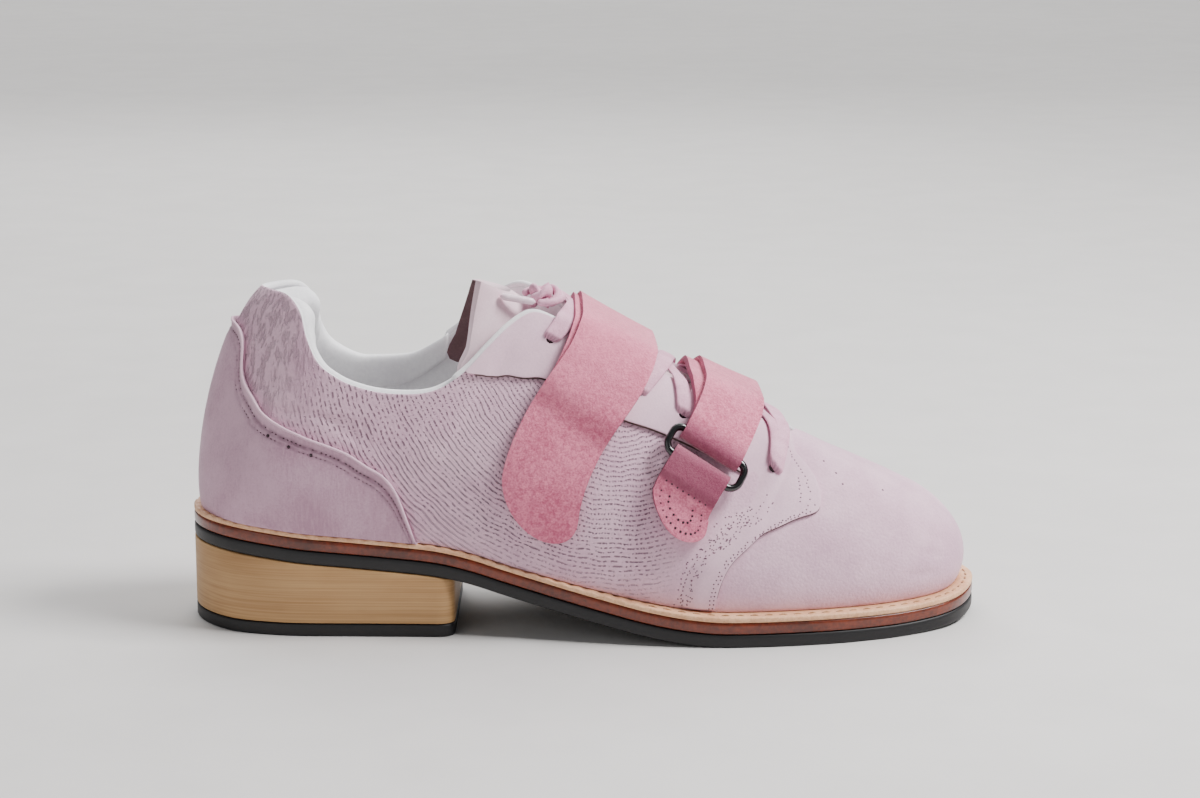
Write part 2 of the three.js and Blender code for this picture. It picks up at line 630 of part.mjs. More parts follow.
const overlay = toManifold(makeShell(CLEAR, CLEAR + LEATHER));

function makeFacing(side) {
  const rows = FACING.map((_, i) => i);
  const cutter = sheet(rows, [0, 0.33, 0.67, 1], (i, across, over) => {
    const row = FACING[i];
    const place = side * mix(row.fromA, row.fromB, across);
    return offSkin(place, mix(row.upA, row.upB, across), over ? CUT_OVER : CUT_UNDER);
  });
  return fromManifold(overlay.intersect(toManifold(cutter)));
}

function counterCutter() {
  const outer = COUNTER.map((row) => -row.at).slice(0, -1);
  const inner = COUNTER.map((row) => row.at).reverse();
  return toManifold(sheet([...outer, ...inner], [0, 0.25, 0.5, 0.75, 1], (place, share, over) => {
    const up = mix(BELOW_FOOT, read(COUNTER, "up", Math.abs(place)), share);
    return offSkin(place, up, over ? CUT_OVER : CUT_UNDER);
  }));
}

function makeCounter() {
  return fromManifold(overlay.intersect(counterCutter()));
}

// Padded collar: a soft roll inside the topline, thick at the heel and thin in front.
// thick: share of PAD. low: share up the rib of its lower edge.
const COLLAR = [
  { at: 0.735, thick: 0.22, low: 0.84 },
  { at: 0.765, thick: 0.28, low: 0.8 },
  { at: 0.81, thick: 0.34, low: 0.78 },
  { at: 0.86, thick: 0.42, low: 0.77 },
  { at: 0.9, thick: 0.6, low: 0.76 },
  { at: 0.93, thick: 0.82, low: 0.76 },
  { at: 0.96, thick: 0.96, low: 0.76 },
  { at: 1, thick: 1, low: 0.76 },
];
const COLLAR_RISE = 1.6;

function makeCollar() {
  const side = [0.738, 0.75, 0.77, 0.795, 0.825, 0.85, 0.875, 0.9, 0.92, 0.938, 0.955, 0.972, 0.986];
  const places = [...side.map((place) => -place), 1, ...side.slice().reverse()];
  const corners = 8;
  const square = (value) => Math.sign(value) * Math.abs(value) ** 0.65;
  const sections = places.map((place) => {
    const size = Math.abs(place);
    const [foot, , , top] = rib(place);
    const high = 1 + COLLAR_RISE / top.distanceTo(foot);
    const low = read(COLLAR, "low", size);
    const thick = PAD * read(COLLAR, "thick", size);
    return Array.from({ length: corners }, (_, i) => {
      const turn = (2 * Math.PI * (i + 0.5)) / corners;
      const up = mix(low, high, 0.5 + 0.5 * square(Math.sin(turn)));
      const deep = WALL + CLEAR + LOOSE + thick * (0.5 - 0.5 * square(Math.cos(turn)));
      const level = Math.min(up, 1);
      return skin(place, up).addScaledVector(skinNormal(place, level), -deep);
    });
  });
  return loft(sections);
}

// Tongue: under the throat it follows the inside of the upper; above that it stands up
// through the opening in rows of its own, with a crest point and its two edges.
const TONGUE_UNDER = [0.3, 0.325, 0.36, 0.4, 0.45, 0.5, 0.55, 0.595];
const TONGUE_TOP = [
  { crest: [0.466, 0.01, 0.868], outer: [0.352, -0.24, 0.742], inner: [0.338, 0.2, 0.742] },
  { crest: [0.443, 0.005, 0.915], outer: [0.358, -0.228, 0.84], inner: [0.34, 0.19, 0.81] },
  { crest: [0.421, 0, 0.953], outer: [0.365, -0.215, 0.94], inner: [0.35, 0.18, 0.885] },
  { crest: [0.407, -0.01, 0.975], outer: [0.373, -0.203, 1.028], inner: [0.367, 0.165, 0.962] },
];
const TONGUE_SIDES = [-1, -0.7, -0.35, 0, 0.35, 0.7, 1];
const TONGUE_REACH = 0.4;

function tonguePoint(row, side, over) {
  const depth = over ? 0 : -TONGUE;
  if (row < TONGUE_UNDER.length) {
    const from = TONGUE_UNDER[row];
    const reach = side * TONGUE_REACH;
    return instep(from, reach).addScaledVector(instepNormal(from, reach), depth - WALL - CLEAR - LOOSE);
  }
  const { crest, outer, inner } = TONGUE_TOP[row - TONGUE_UNDER.length];
  const edge = side < 0 ? outer : inner;
  const bow = side * side;
  const spot = (i) => mix(crest[i], edge[i], i === 1 ? Math.abs(side) : bow);
  const point = new THREE.Vector3((spot(0) - 0.5) * LENGTH, spot(1) * WIDTH, spot(2) * HEIGHT);
  const outward = new THREE.Vector3(0.82 * (1 - 0.6 * bow), side * 0.85, 0.57 * (1 - 0.8 * bow)).normalize();
  return point.addScaledVector(outward, depth);
}

function makeTongue() {
  const rows = Array.from({ length: TONGUE_UNDER.length + TONGUE_TOP.length }, (_, i) => i);
  const whole = toManifold(sheet(rows, TONGUE_SIDES, tonguePoint));
  const room = toManifold(makeShell(-WALL - CLEAR, CUT_OVER));
  return fromManifold(whole.subtract(room));
}

// A track runs over the instep from side to side; at is the side, from the place. Its
// points are found by the length walked from the crest, then by the way along the foot,
// in paces of PACE; SKEW fans them out a little, so that the band keeps its width.
const SKEW = 0.011;
const PACE = 4;

function makeTrack(rows) {
  const count = 80;
  const low = rows[0].at;
  const high = rows[rows.length - 1].at;
  const sides = Array.from({ length: count + 1 }, (_, i) => mix(low, high, i / count));
  const spots = sides.map((side) => instep(read(rows, "from", side), side));
  const walked = [0];
  for (let i = 1; i <= count; i += 1) walked.push(walked[i - 1] + spots[i].distanceTo(spots[i - 1]));
  const find = (list, values, target) => {
    let i = 0;
    while (i < count - 1 && list[i + 1] < target) i += 1;
    return mix(values[i], values[i + 1], (target - list[i]) / (list[i + 1] - list[i]));
  };
  const zero = find(sides, walked, 0);
  const lengthAt = (side) => find(sides, walked, side) - zero;
  const sideAt = (length) => find(walked, sides, length + zero);
  const place = (length, across, lift) => {
    const centre = sideAt(length);
    const side = centre * (1 - SKEW * across * Math.max(0, 1 - Math.abs(centre)));
    let from = read(rows, "from", centre);
    const steps = Math.max(1, Math.ceil(Math.abs(across) / PACE));
    for (let i = 0; i < steps; i += 1) {
      const speed = instep(from + SMALL, side).distanceTo(instep(from - SMALL, side)) / (2 * SMALL);
      from += across / steps / speed;
    }
    return instep(from, side).addScaledVector(instepNormal(from, side), lift);
  };
  return { lengthAt, sideAt, place };
}

// Straps. turn is 1 where the ring is on the inner side and -1 where it is on the outer
// side. free and sewn give the middle of each layer above the skin, at turn times side;
// shift moves the sewn layer towards the heel from under the free one.
const UPPER_STRAP = {
  turn: 1,
  width: UPPER_STRAP_WIDTH,
  tip: -0.9,
  ringSide: 0.47,
  tabLength: 26,
  rows: [
    { at: -0.97, from: 0.557 },
    { at: -0.89, from: 0.5625 },
    { at: -0.78, from: 0.57 },
    { at: -0.6, from: 0.573 },
    { at: -0.3, from: 0.572 },
    { at: 0, from: 0.58 },
    { at: 0.6, from: 0.585 },
    { at: 0.95, from: 0.6 },
  ],
  free: [
    { at: -0.95, lift: 1.8 },
    { at: -0.56, lift: 1.8 },
    { at: -0.46, lift: 5.8 },
    { at: -0.37, lift: 6.4 },
    { at: -0.31, lift: 7.4 },
    { at: -0.15, lift: 7.5 },
    { at: 0.3, lift: 7.5 },
    { at: 0.47, lift: 8.85 },
  ],
  sewn: [
    { at: -0.45, lift: 3.1, shift: 0 },
    { at: -0.37, lift: 3.8, shift: 1 },
    { at: -0.31, lift: 4.95, shift: 1.6 },
    { at: 0, lift: 4.95, shift: 2 },
    { at: 0.31, lift: 4.95, shift: 0.8 },
    { at: 0.38, lift: 4.3, shift: 0 },
    { at: 0.47, lift: 3.55, shift: 0 },
  ],
};
const LOWER_STRAP = {
  turn: -1,
  width: LOWER_STRAP_WIDTH,
  tip: -0.86,
  ringSide: 0.45,
  tabLength: 24.5,
  rows: [
    { at: -0.95, from: 0.42 },
    { at: -0.76, from: 0.421 },
    { at: -0.66, from: 0.43 },
    { at: -0.5, from: 0.4254 },
    { at: -0.3, from: 0.424 },
    { at: 0, from: 0.428 },
    { at: 0.4, from: 0.43 },
    { at: 0.95, from: 0.44 },
  ],
  free: [
    { at: -0.95, lift: 1.8 },
    { at: -0.6, lift: 1.8 },
    { at: -0.5, lift: 5.8 },
    { at: -0.42, lift: 6.6 },
    { at: -0.36, lift: 7.4 },
    { at: -0.15, lift: 7.5 },
    { at: 0.3, lift: 7.5 },
    { at: 0.45, lift: 8.85 },
  ],
  sewn: [
    { at: -0.49, lift: 3.1, shift: 0 },
    { at: -0.43, lift: 4, shift: 1 },
    { at: -0.37, lift: 4.95, shift: 3 },
    { at: 0, lift: 4.95, shift: 5 },
    { at: 0.2, lift: 4.95, shift: 4 },
    { at: 0.37, lift: 4.85, shift: 0 },
    { at: 0.45, lift: 3.55, shift: 0 },
  ],
};

// Arc of a fold round a bar: from the free layer over the far side to the sewn layer
function foldArc(barLength, radius, turn) {
  return [75, 45, 15, -15, -45, -75].map((angle) => {
    const turned = THREE.MathUtils.degToRad(angle);
    return [barLength + turn * radius * Math.cos(turned), RING_LIFT + radius * Math.sin(turned), 0];
  });
}

// A band along a path of lengths, lifts and shifts, with round ends where asked
function makeBand(track, path, width, thick, roundStart, roundEnd) {
  const walked = [0];
  for (let i = 1; i < path.length; i += 1) {
    walked.push(walked[i - 1] + Math.hypot(path[i][0] - path[i - 1][0], path[i][1] - path[i - 1][1]));
  }
  const total = walked[walked.length - 1];
  const half = width / 2;
  const sides = [-1, -0.78, 0, 0.78, 1];
  const spot = (distance) => {
    let i = 0;
    while (i < path.length - 2 && walked[i + 1] < distance) i += 1;
    const t = (distance - walked[i]) / (walked[i + 1] - walked[i]);
    return [0, 1, 2].map((k) => mix(path[i][k], path[i + 1][k], t));
  };
  const rows = path.map((_, i) => i);
  return sheet(rows, sides, (i, side, over) => {
    const back = half * (1 - Math.sqrt(1 - side * side));
    const near = clamp(1 - walked[i] / width, 0, 1) * (roundStart ? 1 : 0);
    const far = clamp(1 - (total - walked[i]) / width, 0, 1) * (roundEnd ? 1 : 0);
    const distance = clamp(walked[i] + back * near - back * far, 0, total);
    const here = spot(distance);
    const before = spot(Math.max(distance - 0.8, 0));
    const after = spot(Math.min(distance + 0.8, total));
    const run = Math.hypot(after[0] - before[0], after[1] - before[1]);
    const offset = (over ? 0.5 : -0.5) * thick;
    const length = here[0] - ((after[1] - before[1]) / run) * offset;
    const lift = here[1] + ((after[0] - before[0]) / run) * offset;
    return track.place(length, side * half + here[2], lift);
  });
}

function layerPath(track, turn, table, sides) {
  return sides.map((side) => [
    track.lengthAt(turn * side),
    read(table, "lift", side),
    table[0].shift === undefined ? 0 : read(table, "shift", side),
  ]);
}

function makeStrap({ turn, width, tip, ringSide, rows, free, sewn }) {
  const track = makeTrack(rows);
  const radius = RING_WIRE / 2 + CLEAR + STRAP / 2;
  const end = sewn[0].at;
  const top = layerPath(track, turn, free, [
    tip, tip + 0.05, tip + 0.11, tip + 0.18, -0.64, -0.56, -0.51, -0.46, -0.38, -0.3, -0.23, -0.17,
    -0.11, 0, 0.11, 0.17, 0.23, 0.3, 0.38,
  ]);
  const under = layerPath(track, turn, sewn, [
    0.38, 0.3, 0.23, 0.17, 0.11, 0, -0.11, -0.17, -0.23, -0.3, -0.37, end + 0.02, end,
  ]);
  const path = [...top, ...foldArc(track.lengthAt(turn * ringSide), radius, turn), ...under];
  return makeBand(track, path, width, STRAP, true, false);
}

function makeTab({ turn, width, ringSide, tabLength, rows }) {
  const track = makeTrack(rows);
  const radius = RING_WIRE / 2 + CLEAR + TAB / 2;
  const bar = track.lengthAt(turn * ringSide) + turn * RING_GAP;
  const rest = CLEAR + TAB_REST + TAB / 2;
  const upper = [0.25, 0.36, 0.45, 0.6, 0.75, 0.9, 1].map((share) => [
    bar + turn * tabLength * share,
    mix(RING_LIFT + radius, rest + TAB + CLEAR, THREE.MathUtils.smoothstep(share, 0.1, 0.55)),
    0,
  ]);
  const lower = [1, 0.9, 0.75, 0.6, 0.45, 0.36, 0.25].map((share) => [
    bar + turn * tabLength * share,
    mix(RING_LIFT - radius, rest, THREE.MathUtils.smoothstep(share, 0, 0.5)),
    0,
  ]);
  const path = [...upper.reverse(), ...foldArc(bar, radius, -turn), ...lower.reverse()];
  return makeBand(track, path, width - 4 * CLEAR, TAB, true, true);
}

function makeRing({ turn, width, ringSide, rows }) {
  const track = makeTrack(rows);
  const first = track.lengthAt(turn * ringSide);
  const middle = first + (turn * RING_GAP) / 2;
  const corner = RING_CORNER;
  const longHalf = width / 2 + RING_PLAY + RING_WIRE / 2;
  const shortHalf = RING_GAP / 2;
  const outline = [];
  for (const [signX, signY, start] of [[1, 1, 0], [-1, 1, 90], [-1, -1, 180], [1, -1, 270]]) {
    for (const angle of [0, 22.5, 45, 67.5, 90]) {
      const turned = THREE.MathUtils.degToRad(start + angle);
      outline.push([
        signX * (shortHalf - corner) + corner * Math.cos(turned),
        signY * (longHalf - corner) + corner * Math.sin(turned),
        turned,
      ]);
    }
  }
  const wire = RING_WIRE / 2;
  const sides = 6;
  const sections = outline.map(([x, y, turned]) => Array.from({ length: sides }, (_, i) => {
    const around = (2 * Math.PI * i) / sides;
    const out = wire * Math.cos(around);
    return track.place(
      middle + x + out * Math.cos(turned),
      y + out * Math.sin(turned),
      RING_LIFT + wire * Math.sin(around),
    );
  }));
  return loft(sections, true);
}

// Laces: a bar across the front pair of holes, then crossings up to the last pair, and
// from there up to the knot. from and side say where the holes of the outer side are;
// those of the inner side are across from them and further back by back.
const HOLES = [
  { from: 0.354, side: 0.385, back: 0.018 },
  { from: 0.41, side: 0.35, back: 0.018 },
  { from: 0.464, side: 0.333, back: 0.018 },
  { from: 0.519, side: 0.315, back: 0.014 },
  { from: 0.58, side: 0.275, back: 0.008 },
  { from: 0.636, side: 0.255, back: 0 },
];
const KNOT_FROM = 0.605;
const LACE_LIFT = CLEAR + LEATHER + CLEAR + LACE_HOLE_RISE + LACE / 2;

// A strand of the lace between two spots of the instep
function makeStrand(start, end) {
  const slope = (end.from - start.from) / (end.side - start.side);
  const past = 0.03;
  const track = makeTrack([
    { at: start.side - past, from: start.from - slope * past },
    { at: end.side + past, from: end.from + slope * past },
  ]);
  const long = [-1, -0.62, -0.42, -0.22, 0, 0.22, 0.42, 0.62, 1];
  const short = [-1, -0.5, 0, 0.5, 1];
  const steps = end.side - start.side > 0.4 ? long : short;
  return toManifold(sheet(steps, [-1, 1], (step, side, over) => {
    const length = track.lengthAt(mix(start.side, end.side, (step + 1) / 2));
    return track.place(length, (side * LACE_WIDTH) / 2, LACE_LIFT + (over ? 0.5 : -0.5) * LACE);
  }));
}

function makeLaces() {
  const outer = HOLES.map(({ from, side }) => ({ from, side: -side }));
  const inner = HOLES.map(({ from, side, back }) => ({ from: from + back, side }));
  let joined = makeStrand(outer[0], inner[0]);
  for (let i = 1; i < HOLES.length; i += 1) {
    joined = joined.add(makeStrand(outer[i - 1], inner[i]));
    joined = joined.add(makeStrand(outer[i], inner[i - 1]));
  }
  const last = HOLES.length - 1;
  joined = joined.add(makeStrand(outer[last], { from: KNOT_FROM, side: 0.02 }));
  joined = joined.add(makeStrand({ from: KNOT_FROM, side: -0.02 }, inner[last]));
  return fromManifold(joined);
}

// Knot, short free end and hard tip of the lace, in front of the tongue. The knot sits off
// the bridge of the throat, and the end's route is given from the middle of the knot: from
// its heel side once round behind it, and forward to the tip.
const KNOT_OFF = [-11.9, -6, 9.1];
const KNOT_SIZE = [5, 5, 4.6];
const END_ROUTE = [
  [-6.6, 0, 0.7],
  [-6.31, 1.93, 0.85],
  [-5.47, 3.69, 1],
  [-4.15, 5.13, 1.1],
  [-2.47, 6.12, 1.1],
  [-0.58, 6.57, 1],
  [1.37, 6.46, 0.85],
  [3.2, 5.77, 0.65],
  [4.75, 4.58, 0.4],
  [5.88, 3, 0.15],
  [6.5, 1.15, -0.15],
  [6.55, -0.8, -0.45],
  [6.03, -2.68, -0.75],
  [4.98, -4.33, -1.05],
  [3.5, -5.6, -1.3],
  [1.71, -6.38, -1.45],
  [-0.2, -6.65, -1.45],
  [-2.2, -6.9, -1.3],
];
const TIP_WAY = [-13, -2.7, 2.8];

const knotMiddle = instep(KNOT_FROM, 0).add(new THREE.Vector3(...KNOT_OFF));

function makeKnot() {
  const knot = new THREE.SphereGeometry(1, 10, 7);
  knot.scale(...KNOT_SIZE);
  knot.translate(...knotMiddle.toArray());
  return welded(knot);
}

const endPath = new THREE.CatmullRomCurve3(
  END_ROUTE.map((point) => new THREE.Vector3(...point).add(knotMiddle)),
);

function makeLaceEnd() {
  const section = new THREE.Shape();
  section.absarc(0, 0, LACE_END / 2, 0, 2 * Math.PI);
  return welded(new THREE.ExtrudeGeometry(section, {
    extrudePath: endPath,
    steps: 14,
    curveSegments: 4,
    bevelEnabled: false,
  }));
}

function makeTip() {
  const radius = TIP_WIDTH / 2;
  const round = TIP_WIDTH / 5;
  const profile = [
    [0, 0],
    [radius - round, 0],
    [radius, round],
    [radius, TIP_LENGTH - round],
    [radius - round, TIP_LENGTH],
    [0, TIP_LENGTH],
  ].map(([x, y]) => new THREE.Vector2(x, y));
  const tip = new THREE.LatheGeometry(profile, 10);
  const way = new THREE.Vector3(...TIP_WAY).normalize();
  tip.applyQuaternion(new THREE.Quaternion().setFromUnitVectors(new THREE.Vector3(0, 1, 0), way));
  const start = endPath.getPoint(1).addScaledVector(way, CLEAR);
  tip.translate(...start.toArray());
  return welded(tip);
}

const group = new THREE.Group();

function add(name, geometry, colour, roughness, metalness = 0) {
  geometry.computeVertexNormals();
  const material = new THREE.MeshStandardMaterial({ color: colour, roughness, metalness });
  const mesh = new THREE.Mesh(geometry, material);
  mesh.name = name;
  group.add(mesh);
}

const NUBUCK = 0xd9c3cd;
const SUEDE = 0xd9a0b0;
const RUBBER = 0x1c1b1f;
const LACE_PINK = 0xdcb9c8;

add("outsole", layer(() => 0, soleBottom, outsoleTop), RUBBER, 0.6);
add("midsole", layer(() => 0, midsoleBottom, midsoleTop), 0x8a4a26, 0.5);
add("welt", makeWelt(), 0xd8b48c, 0.7);
add("heel_block", heelCut(() => TOP_PIECE + CLEAR, (x) => soleBottom(x) - CLEAR), 0xb08a63, 0.55);
add("heel_top_piece", heelCut(() => 0, () => TOP_PIECE), RUBBER, 0.6);
add("insole", layer(insoleInset, (x) => midsoleTop(x) + CLEAR, (x) => weltTop(x) + INSOLE), 0xe8e4e2, 0.9);
add("upper", makeShell(-WALL, 0), NUBUCK, 0.8);
add("counter", makeCounter(), 0xcbb4bf, 0.8);
add("facing_outer", makeFacing(-1), 0xe0ccd4, 0.75);
add("facing_inner", makeFacing(1), 0xe0ccd4, 0.75);
add("collar_pad", makeCollar(), 0xf2eff0, 0.9);
add("tongue", makeTongue(), 0xe0ccd2, 0.8);
add("laces", makeLaces(), LACE_PINK, 0.5);
add("strap_upper", makeStrap(UPPER_STRAP), SUEDE, 0.9);
add("strap_lower", makeStrap(LOWER_STRAP), SUEDE, 0.9);
add("ring_upper", makeRing(UPPER_STRAP), 0x0c0c0e, 0.25);
add("ring_lower", makeRing(LOWER_STRAP), 0x0c0c0e, 0.25);
add("ring_tab_upper", makeTab(UPPER_STRAP), SUEDE, 0.9);
add("ring_tab_lower", makeTab(LOWER_STRAP), SUEDE, 0.9);
add("lace_knot", makeKnot(), LACE_PINK, 0.5);
add("lace_end", makeLaceEnd(), LACE_PINK, 0.5);
add("lace_tip", makeTip(), 0xe6d6de, 0.3);

// The origin is under the middle of the whole shoe
const box = new THREE.Box3().setFromObject(group);
const middle = box.getCenter(new THREE.Vector3());
for (const mesh of group.children) mesh.geometry.translate(-middle.x, -middle.y, -box.min.z);

export default group;
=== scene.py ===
"""Looks of a weightlifting shoe for the right foot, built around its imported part.

Shapes are worked out in the shoe's own millimetres, toe towards +X and the outer side of
the foot towards -Y, and are put into meshes in metres, in the frame of the part.
"""
import math

import bpy
import numpy as np
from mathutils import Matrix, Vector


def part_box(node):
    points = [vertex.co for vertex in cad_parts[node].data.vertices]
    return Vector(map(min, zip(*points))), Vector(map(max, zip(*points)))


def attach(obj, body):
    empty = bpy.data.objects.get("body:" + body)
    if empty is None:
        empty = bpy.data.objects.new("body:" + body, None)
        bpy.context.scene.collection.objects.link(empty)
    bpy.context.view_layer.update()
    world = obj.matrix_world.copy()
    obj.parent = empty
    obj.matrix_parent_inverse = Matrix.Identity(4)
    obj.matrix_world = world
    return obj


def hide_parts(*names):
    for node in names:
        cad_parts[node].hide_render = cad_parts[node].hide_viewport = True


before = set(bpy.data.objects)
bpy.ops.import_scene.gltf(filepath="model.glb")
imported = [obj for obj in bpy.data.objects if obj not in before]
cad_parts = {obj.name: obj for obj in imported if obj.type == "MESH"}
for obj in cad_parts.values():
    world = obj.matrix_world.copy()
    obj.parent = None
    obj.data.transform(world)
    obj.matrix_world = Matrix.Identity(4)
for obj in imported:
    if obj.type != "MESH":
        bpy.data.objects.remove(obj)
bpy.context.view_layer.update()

# Driving dimensions, in millimetres
LENGTH = 284
WIDTH = 97
HEIGHT = 122
CLEAR = 0.3
HEEL_RISE = 30.2
TOP_PIECE = 4.5
OUTSOLE = 4.6
MIDSOLE = 4
WELT = 1.8
WELT_SHOWS = 6.4
INSOLE_IN = 1
BREAST_AT = 96
BREAST_CORNER = 6
WALL = 2.2
LEATHER = 1.2
INSOLE = 3
TONGUE = 3
PAD = 11
STRAP = 2.1
UPPER_STRAP_WIDTH = 30
LOWER_STRAP_WIDTH = 22.8
TAB = 2
TAB_REST = 0.4
RING_WIRE = 2.6
RING_GAP = 9.5
RING_LIFT = 6.2
RING_CORNER = 3.4
RING_PLAY = 1.9
LACE_WIDTH = 6.4
LACE = 1.2
LACE_END = 2.6
TIP_LENGTH = 13.5
TIP_WIDTH = 3.2

# Outline of the sole: share of LENGTH from the heel, share of WIDTH across
OUTLINE = np.array([
    (0, 0), (0.014, -0.145), (0.055, -0.275), (0.12, -0.338), (0.22, -0.352),
    (0.32, -0.36), (0.42, -0.388), (0.52, -0.442), (0.6, -0.478), (0.68, -0.492),
    (0.76, -0.469), (0.84, -0.417), (0.91, -0.334), (0.965, -0.222), (0.991, -0.09),
    (1, 0.07), (0.97, 0.295), (0.91, 0.41), (0.83, 0.475), (0.74, 0.49),
    (0.65, 0.448), (0.56, 0.368), (0.46, 0.305), (0.36, 0.3), (0.24, 0.332),
    (0.13, 0.335), (0.055, 0.272), (0.014, 0.145),
])


def table(names, rows):
    """A short table as one array for each named column."""
    values = np.array(rows, float)
    return {name: values[:, i] for i, name in enumerate(names.split())}


# Underside of the outsole: share of LENGTH from the heel, share of HEEL_RISE up
SOLE_LINE = table("at rise", [
    (0, 1), (0.05, 0.985), (0.1, 0.94), (0.15, 0.885), (0.2, 0.845), (0.27, 0.785),
    (0.32, 0.73), (0.36, 0.645), (0.4, 0.53), (0.46, 0.375), (0.52, 0.235), (0.58, 0.105),
    (0.63, 0.03), (0.68, 0), (0.88, 0), (0.94, 0.015), (1, 0.06),
])
# How far the welt stands out past the upper: place around the shoe, share of WELT_SHOWS
WELT_EDGE = table("at share", [
    (-1, 0.66), (-0.94, 0.5), (-0.87, 0.2), (-0.6, 0.18), (-0.52, 0.4), (-0.44, 0.85),
    (-0.36, 1), (-0.18, 1), (0, 0.85), (0.18, 1), (0.34, 0.85), (0.45, 0.35),
    (0.56, 0.18), (0.87, 0.2), (0.94, 0.5), (1, 0.66),
])

# Ribs of the upper, from the toe (0) to the back of the heel (1): top point as shares of
# LENGTH, WIDTH and HEIGHT, then how far and where the rib bows out low down and near its top
RIB_COLUMNS = "at along across up lean rise reach drop"
CREST_RIBS = [
    (0, 0.908, 0.055, 0.398, 0.072, 0.41, 0.165, 0.2),
    (0.07, 0.896, 0.052, 0.41, 0.07, 0.41, 0.21, 0.17),
    (0.14, 0.875, 0.048, 0.434, 0.064, 0.42, 0.25, 0.09),
    (0.21, 0.843, 0.043, 0.47, 0.055, 0.43, 0.265, 0.04),
    (0.28, 0.805, 0.037, 0.511, 0.05, 0.45, 0.25, 0.01),
    (0.33, 0.77, 0.03, 0.55, 0.05, 0.47, 0.225, 0),
]
OUTER_RIBS = [
    (0.345, 0.762, -0.026, 0.556, 0.05, 0.48, 0.185, 0.02),
    (0.38, 0.728, -0.082, 0.588, 0.05, 0.49, 0.155, 0.05),
    (0.43, 0.671, -0.108, 0.65, 0.05, 0.5, 0.162, 0.08),
    (0.49, 0.608, -0.119, 0.723, 0.045, 0.51, 0.165, 0.11),
    (0.55, 0.548, -0.127, 0.798, 0.04, 0.52, 0.15, 0.15),
    (0.6, 0.499, -0.134, 0.86, 0.04, 0.52, 0.14, 0.18),
    (0.635, 0.463, -0.142, 0.906, 0.04, 0.52, 0.12, 0.22),
    (0.66, 0.435, -0.165, 0.93, 0.04, 0.52, 0.1, 0.25),
    (0.68, 0.41, -0.2, 0.903, 0.04, 0.5, 0.085, 0.27),
    (0.7, 0.384, -0.245, 0.85, 0.045, 0.5, 0.07, 0.28),
    (0.725, 0.354, -0.286, 0.781, 0.045, 0.48, 0.05, 0.3),
    (0.75, 0.326, -0.308, 0.737, 0.045, 0.46, 0.035, 0.3),
    (0.79, 0.282, -0.317, 0.717, 0.045, 0.44, 0.03, 0.32),
    (0.84, 0.229, -0.312, 0.731, 0.045, 0.42, 0.035, 0.34),
    (0.875, 0.194, -0.3, 0.763, 0.045, 0.4, 0.045, 0.36),
    (0.905, 0.169, -0.278, 0.812, 0.045, 0.36, 0.06, 0.36),
    (0.925, 0.157, -0.252, 0.873, 0.045, 0.32, 0.08, 0.34),
    (0.945, 0.148, -0.211, 0.943, 0.042, 0.28, 0.1, 0.28),
    (0.965, 0.13, -0.149, 0.984, 0.042, 0.27, 0.12, 0.2),
    (0.985, 0.106, -0.072, 0.99, 0.042, 0.26, 0.14, 0.15),
]
INNER_RIBS = [
    (0.345, 0.762, 0.07, 0.556, 0.05, 0.48, 0.19, 0.02),
    (0.38, 0.726, 0.124, 0.592, 0.05, 0.49, 0.16, 0.05),
    (0.43, 0.668, 0.143, 0.654, 0.048, 0.5, 0.16, 0.08),
    (0.49, 0.605, 0.147, 0.73, 0.04, 0.51, 0.165, 0.11),
    (0.55, 0.544, 0.147, 0.811, 0.035, 0.52, 0.15, 0.15),
    (0.6, 0.492, 0.148, 0.884, 0.035, 0.52, 0.14, 0.18),
    (0.635, 0.452, 0.15, 0.942, 0.035, 0.52, 0.12, 0.22),
    (0.66, 0.42, 0.168, 0.97, 0.035, 0.52, 0.1, 0.25),
    (0.68, 0.393, 0.202, 0.943, 0.035, 0.5, 0.085, 0.27),
    (0.7, 0.366, 0.238, 0.889, 0.04, 0.5, 0.07, 0.28),
    (0.725, 0.336, 0.27, 0.825, 0.042, 0.48, 0.05, 0.3),
    (0.75, 0.308, 0.287, 0.778, 0.045, 0.46, 0.035, 0.3),
    (0.79, 0.268, 0.298, 0.738, 0.045, 0.44, 0.03, 0.32),
    (0.84, 0.218, 0.297, 0.734, 0.045, 0.42, 0.035, 0.34),
    (0.875, 0.187, 0.287, 0.76, 0.045, 0.4, 0.045, 0.36),
    (0.905, 0.165, 0.268, 0.808, 0.045, 0.36, 0.06, 0.36),
    (0.925, 0.155, 0.245, 0.87, 0.045, 0.32, 0.08, 0.34),
    (0.945, 0.148, 0.208, 0.943, 0.042, 0.28, 0.1, 0.28),
    (0.965, 0.13, 0.149, 0.984, 0.042, 0.27, 0.12, 0.2),
    (0.985, 0.106, 0.072, 0.99, 0.042, 0.26, 0.14, 0.15),
]
HEEL_RIB = (0.094, 0, 0.991, 0.041, 0.26, 0.144, 0.14)


def moved(rows, sign, shift):
    """Rows with their place times a sign, plus a shift."""
    return [(shift + sign * row[0],) + row[1:] for row in rows]


RIBS = table(RIB_COLUMNS, (
    moved(INNER_RIBS[-3:], 1, -2) + [(-1,) + HEEL_RIB] + moved(OUTER_RIBS[::-1], -1, 0)
    + moved(CREST_RIBS[:0:-1], -1, 0) + CREST_RIBS + INNER_RIBS + [(1,) + HEEL_RIB]
    + moved(OUTER_RIBS[:-4:-1], -1, 2)
))
THROAT = 0.335
SMALL = 1e-3


def cubic(a, rise, start, end, t):
    """Cubic from a to a + rise for t from 0 to 1, with a slope at its start and at its end."""
    return a + t * (start + t * (3 * rise - 2 * start - end + t * (start + end - 2 * rise)))


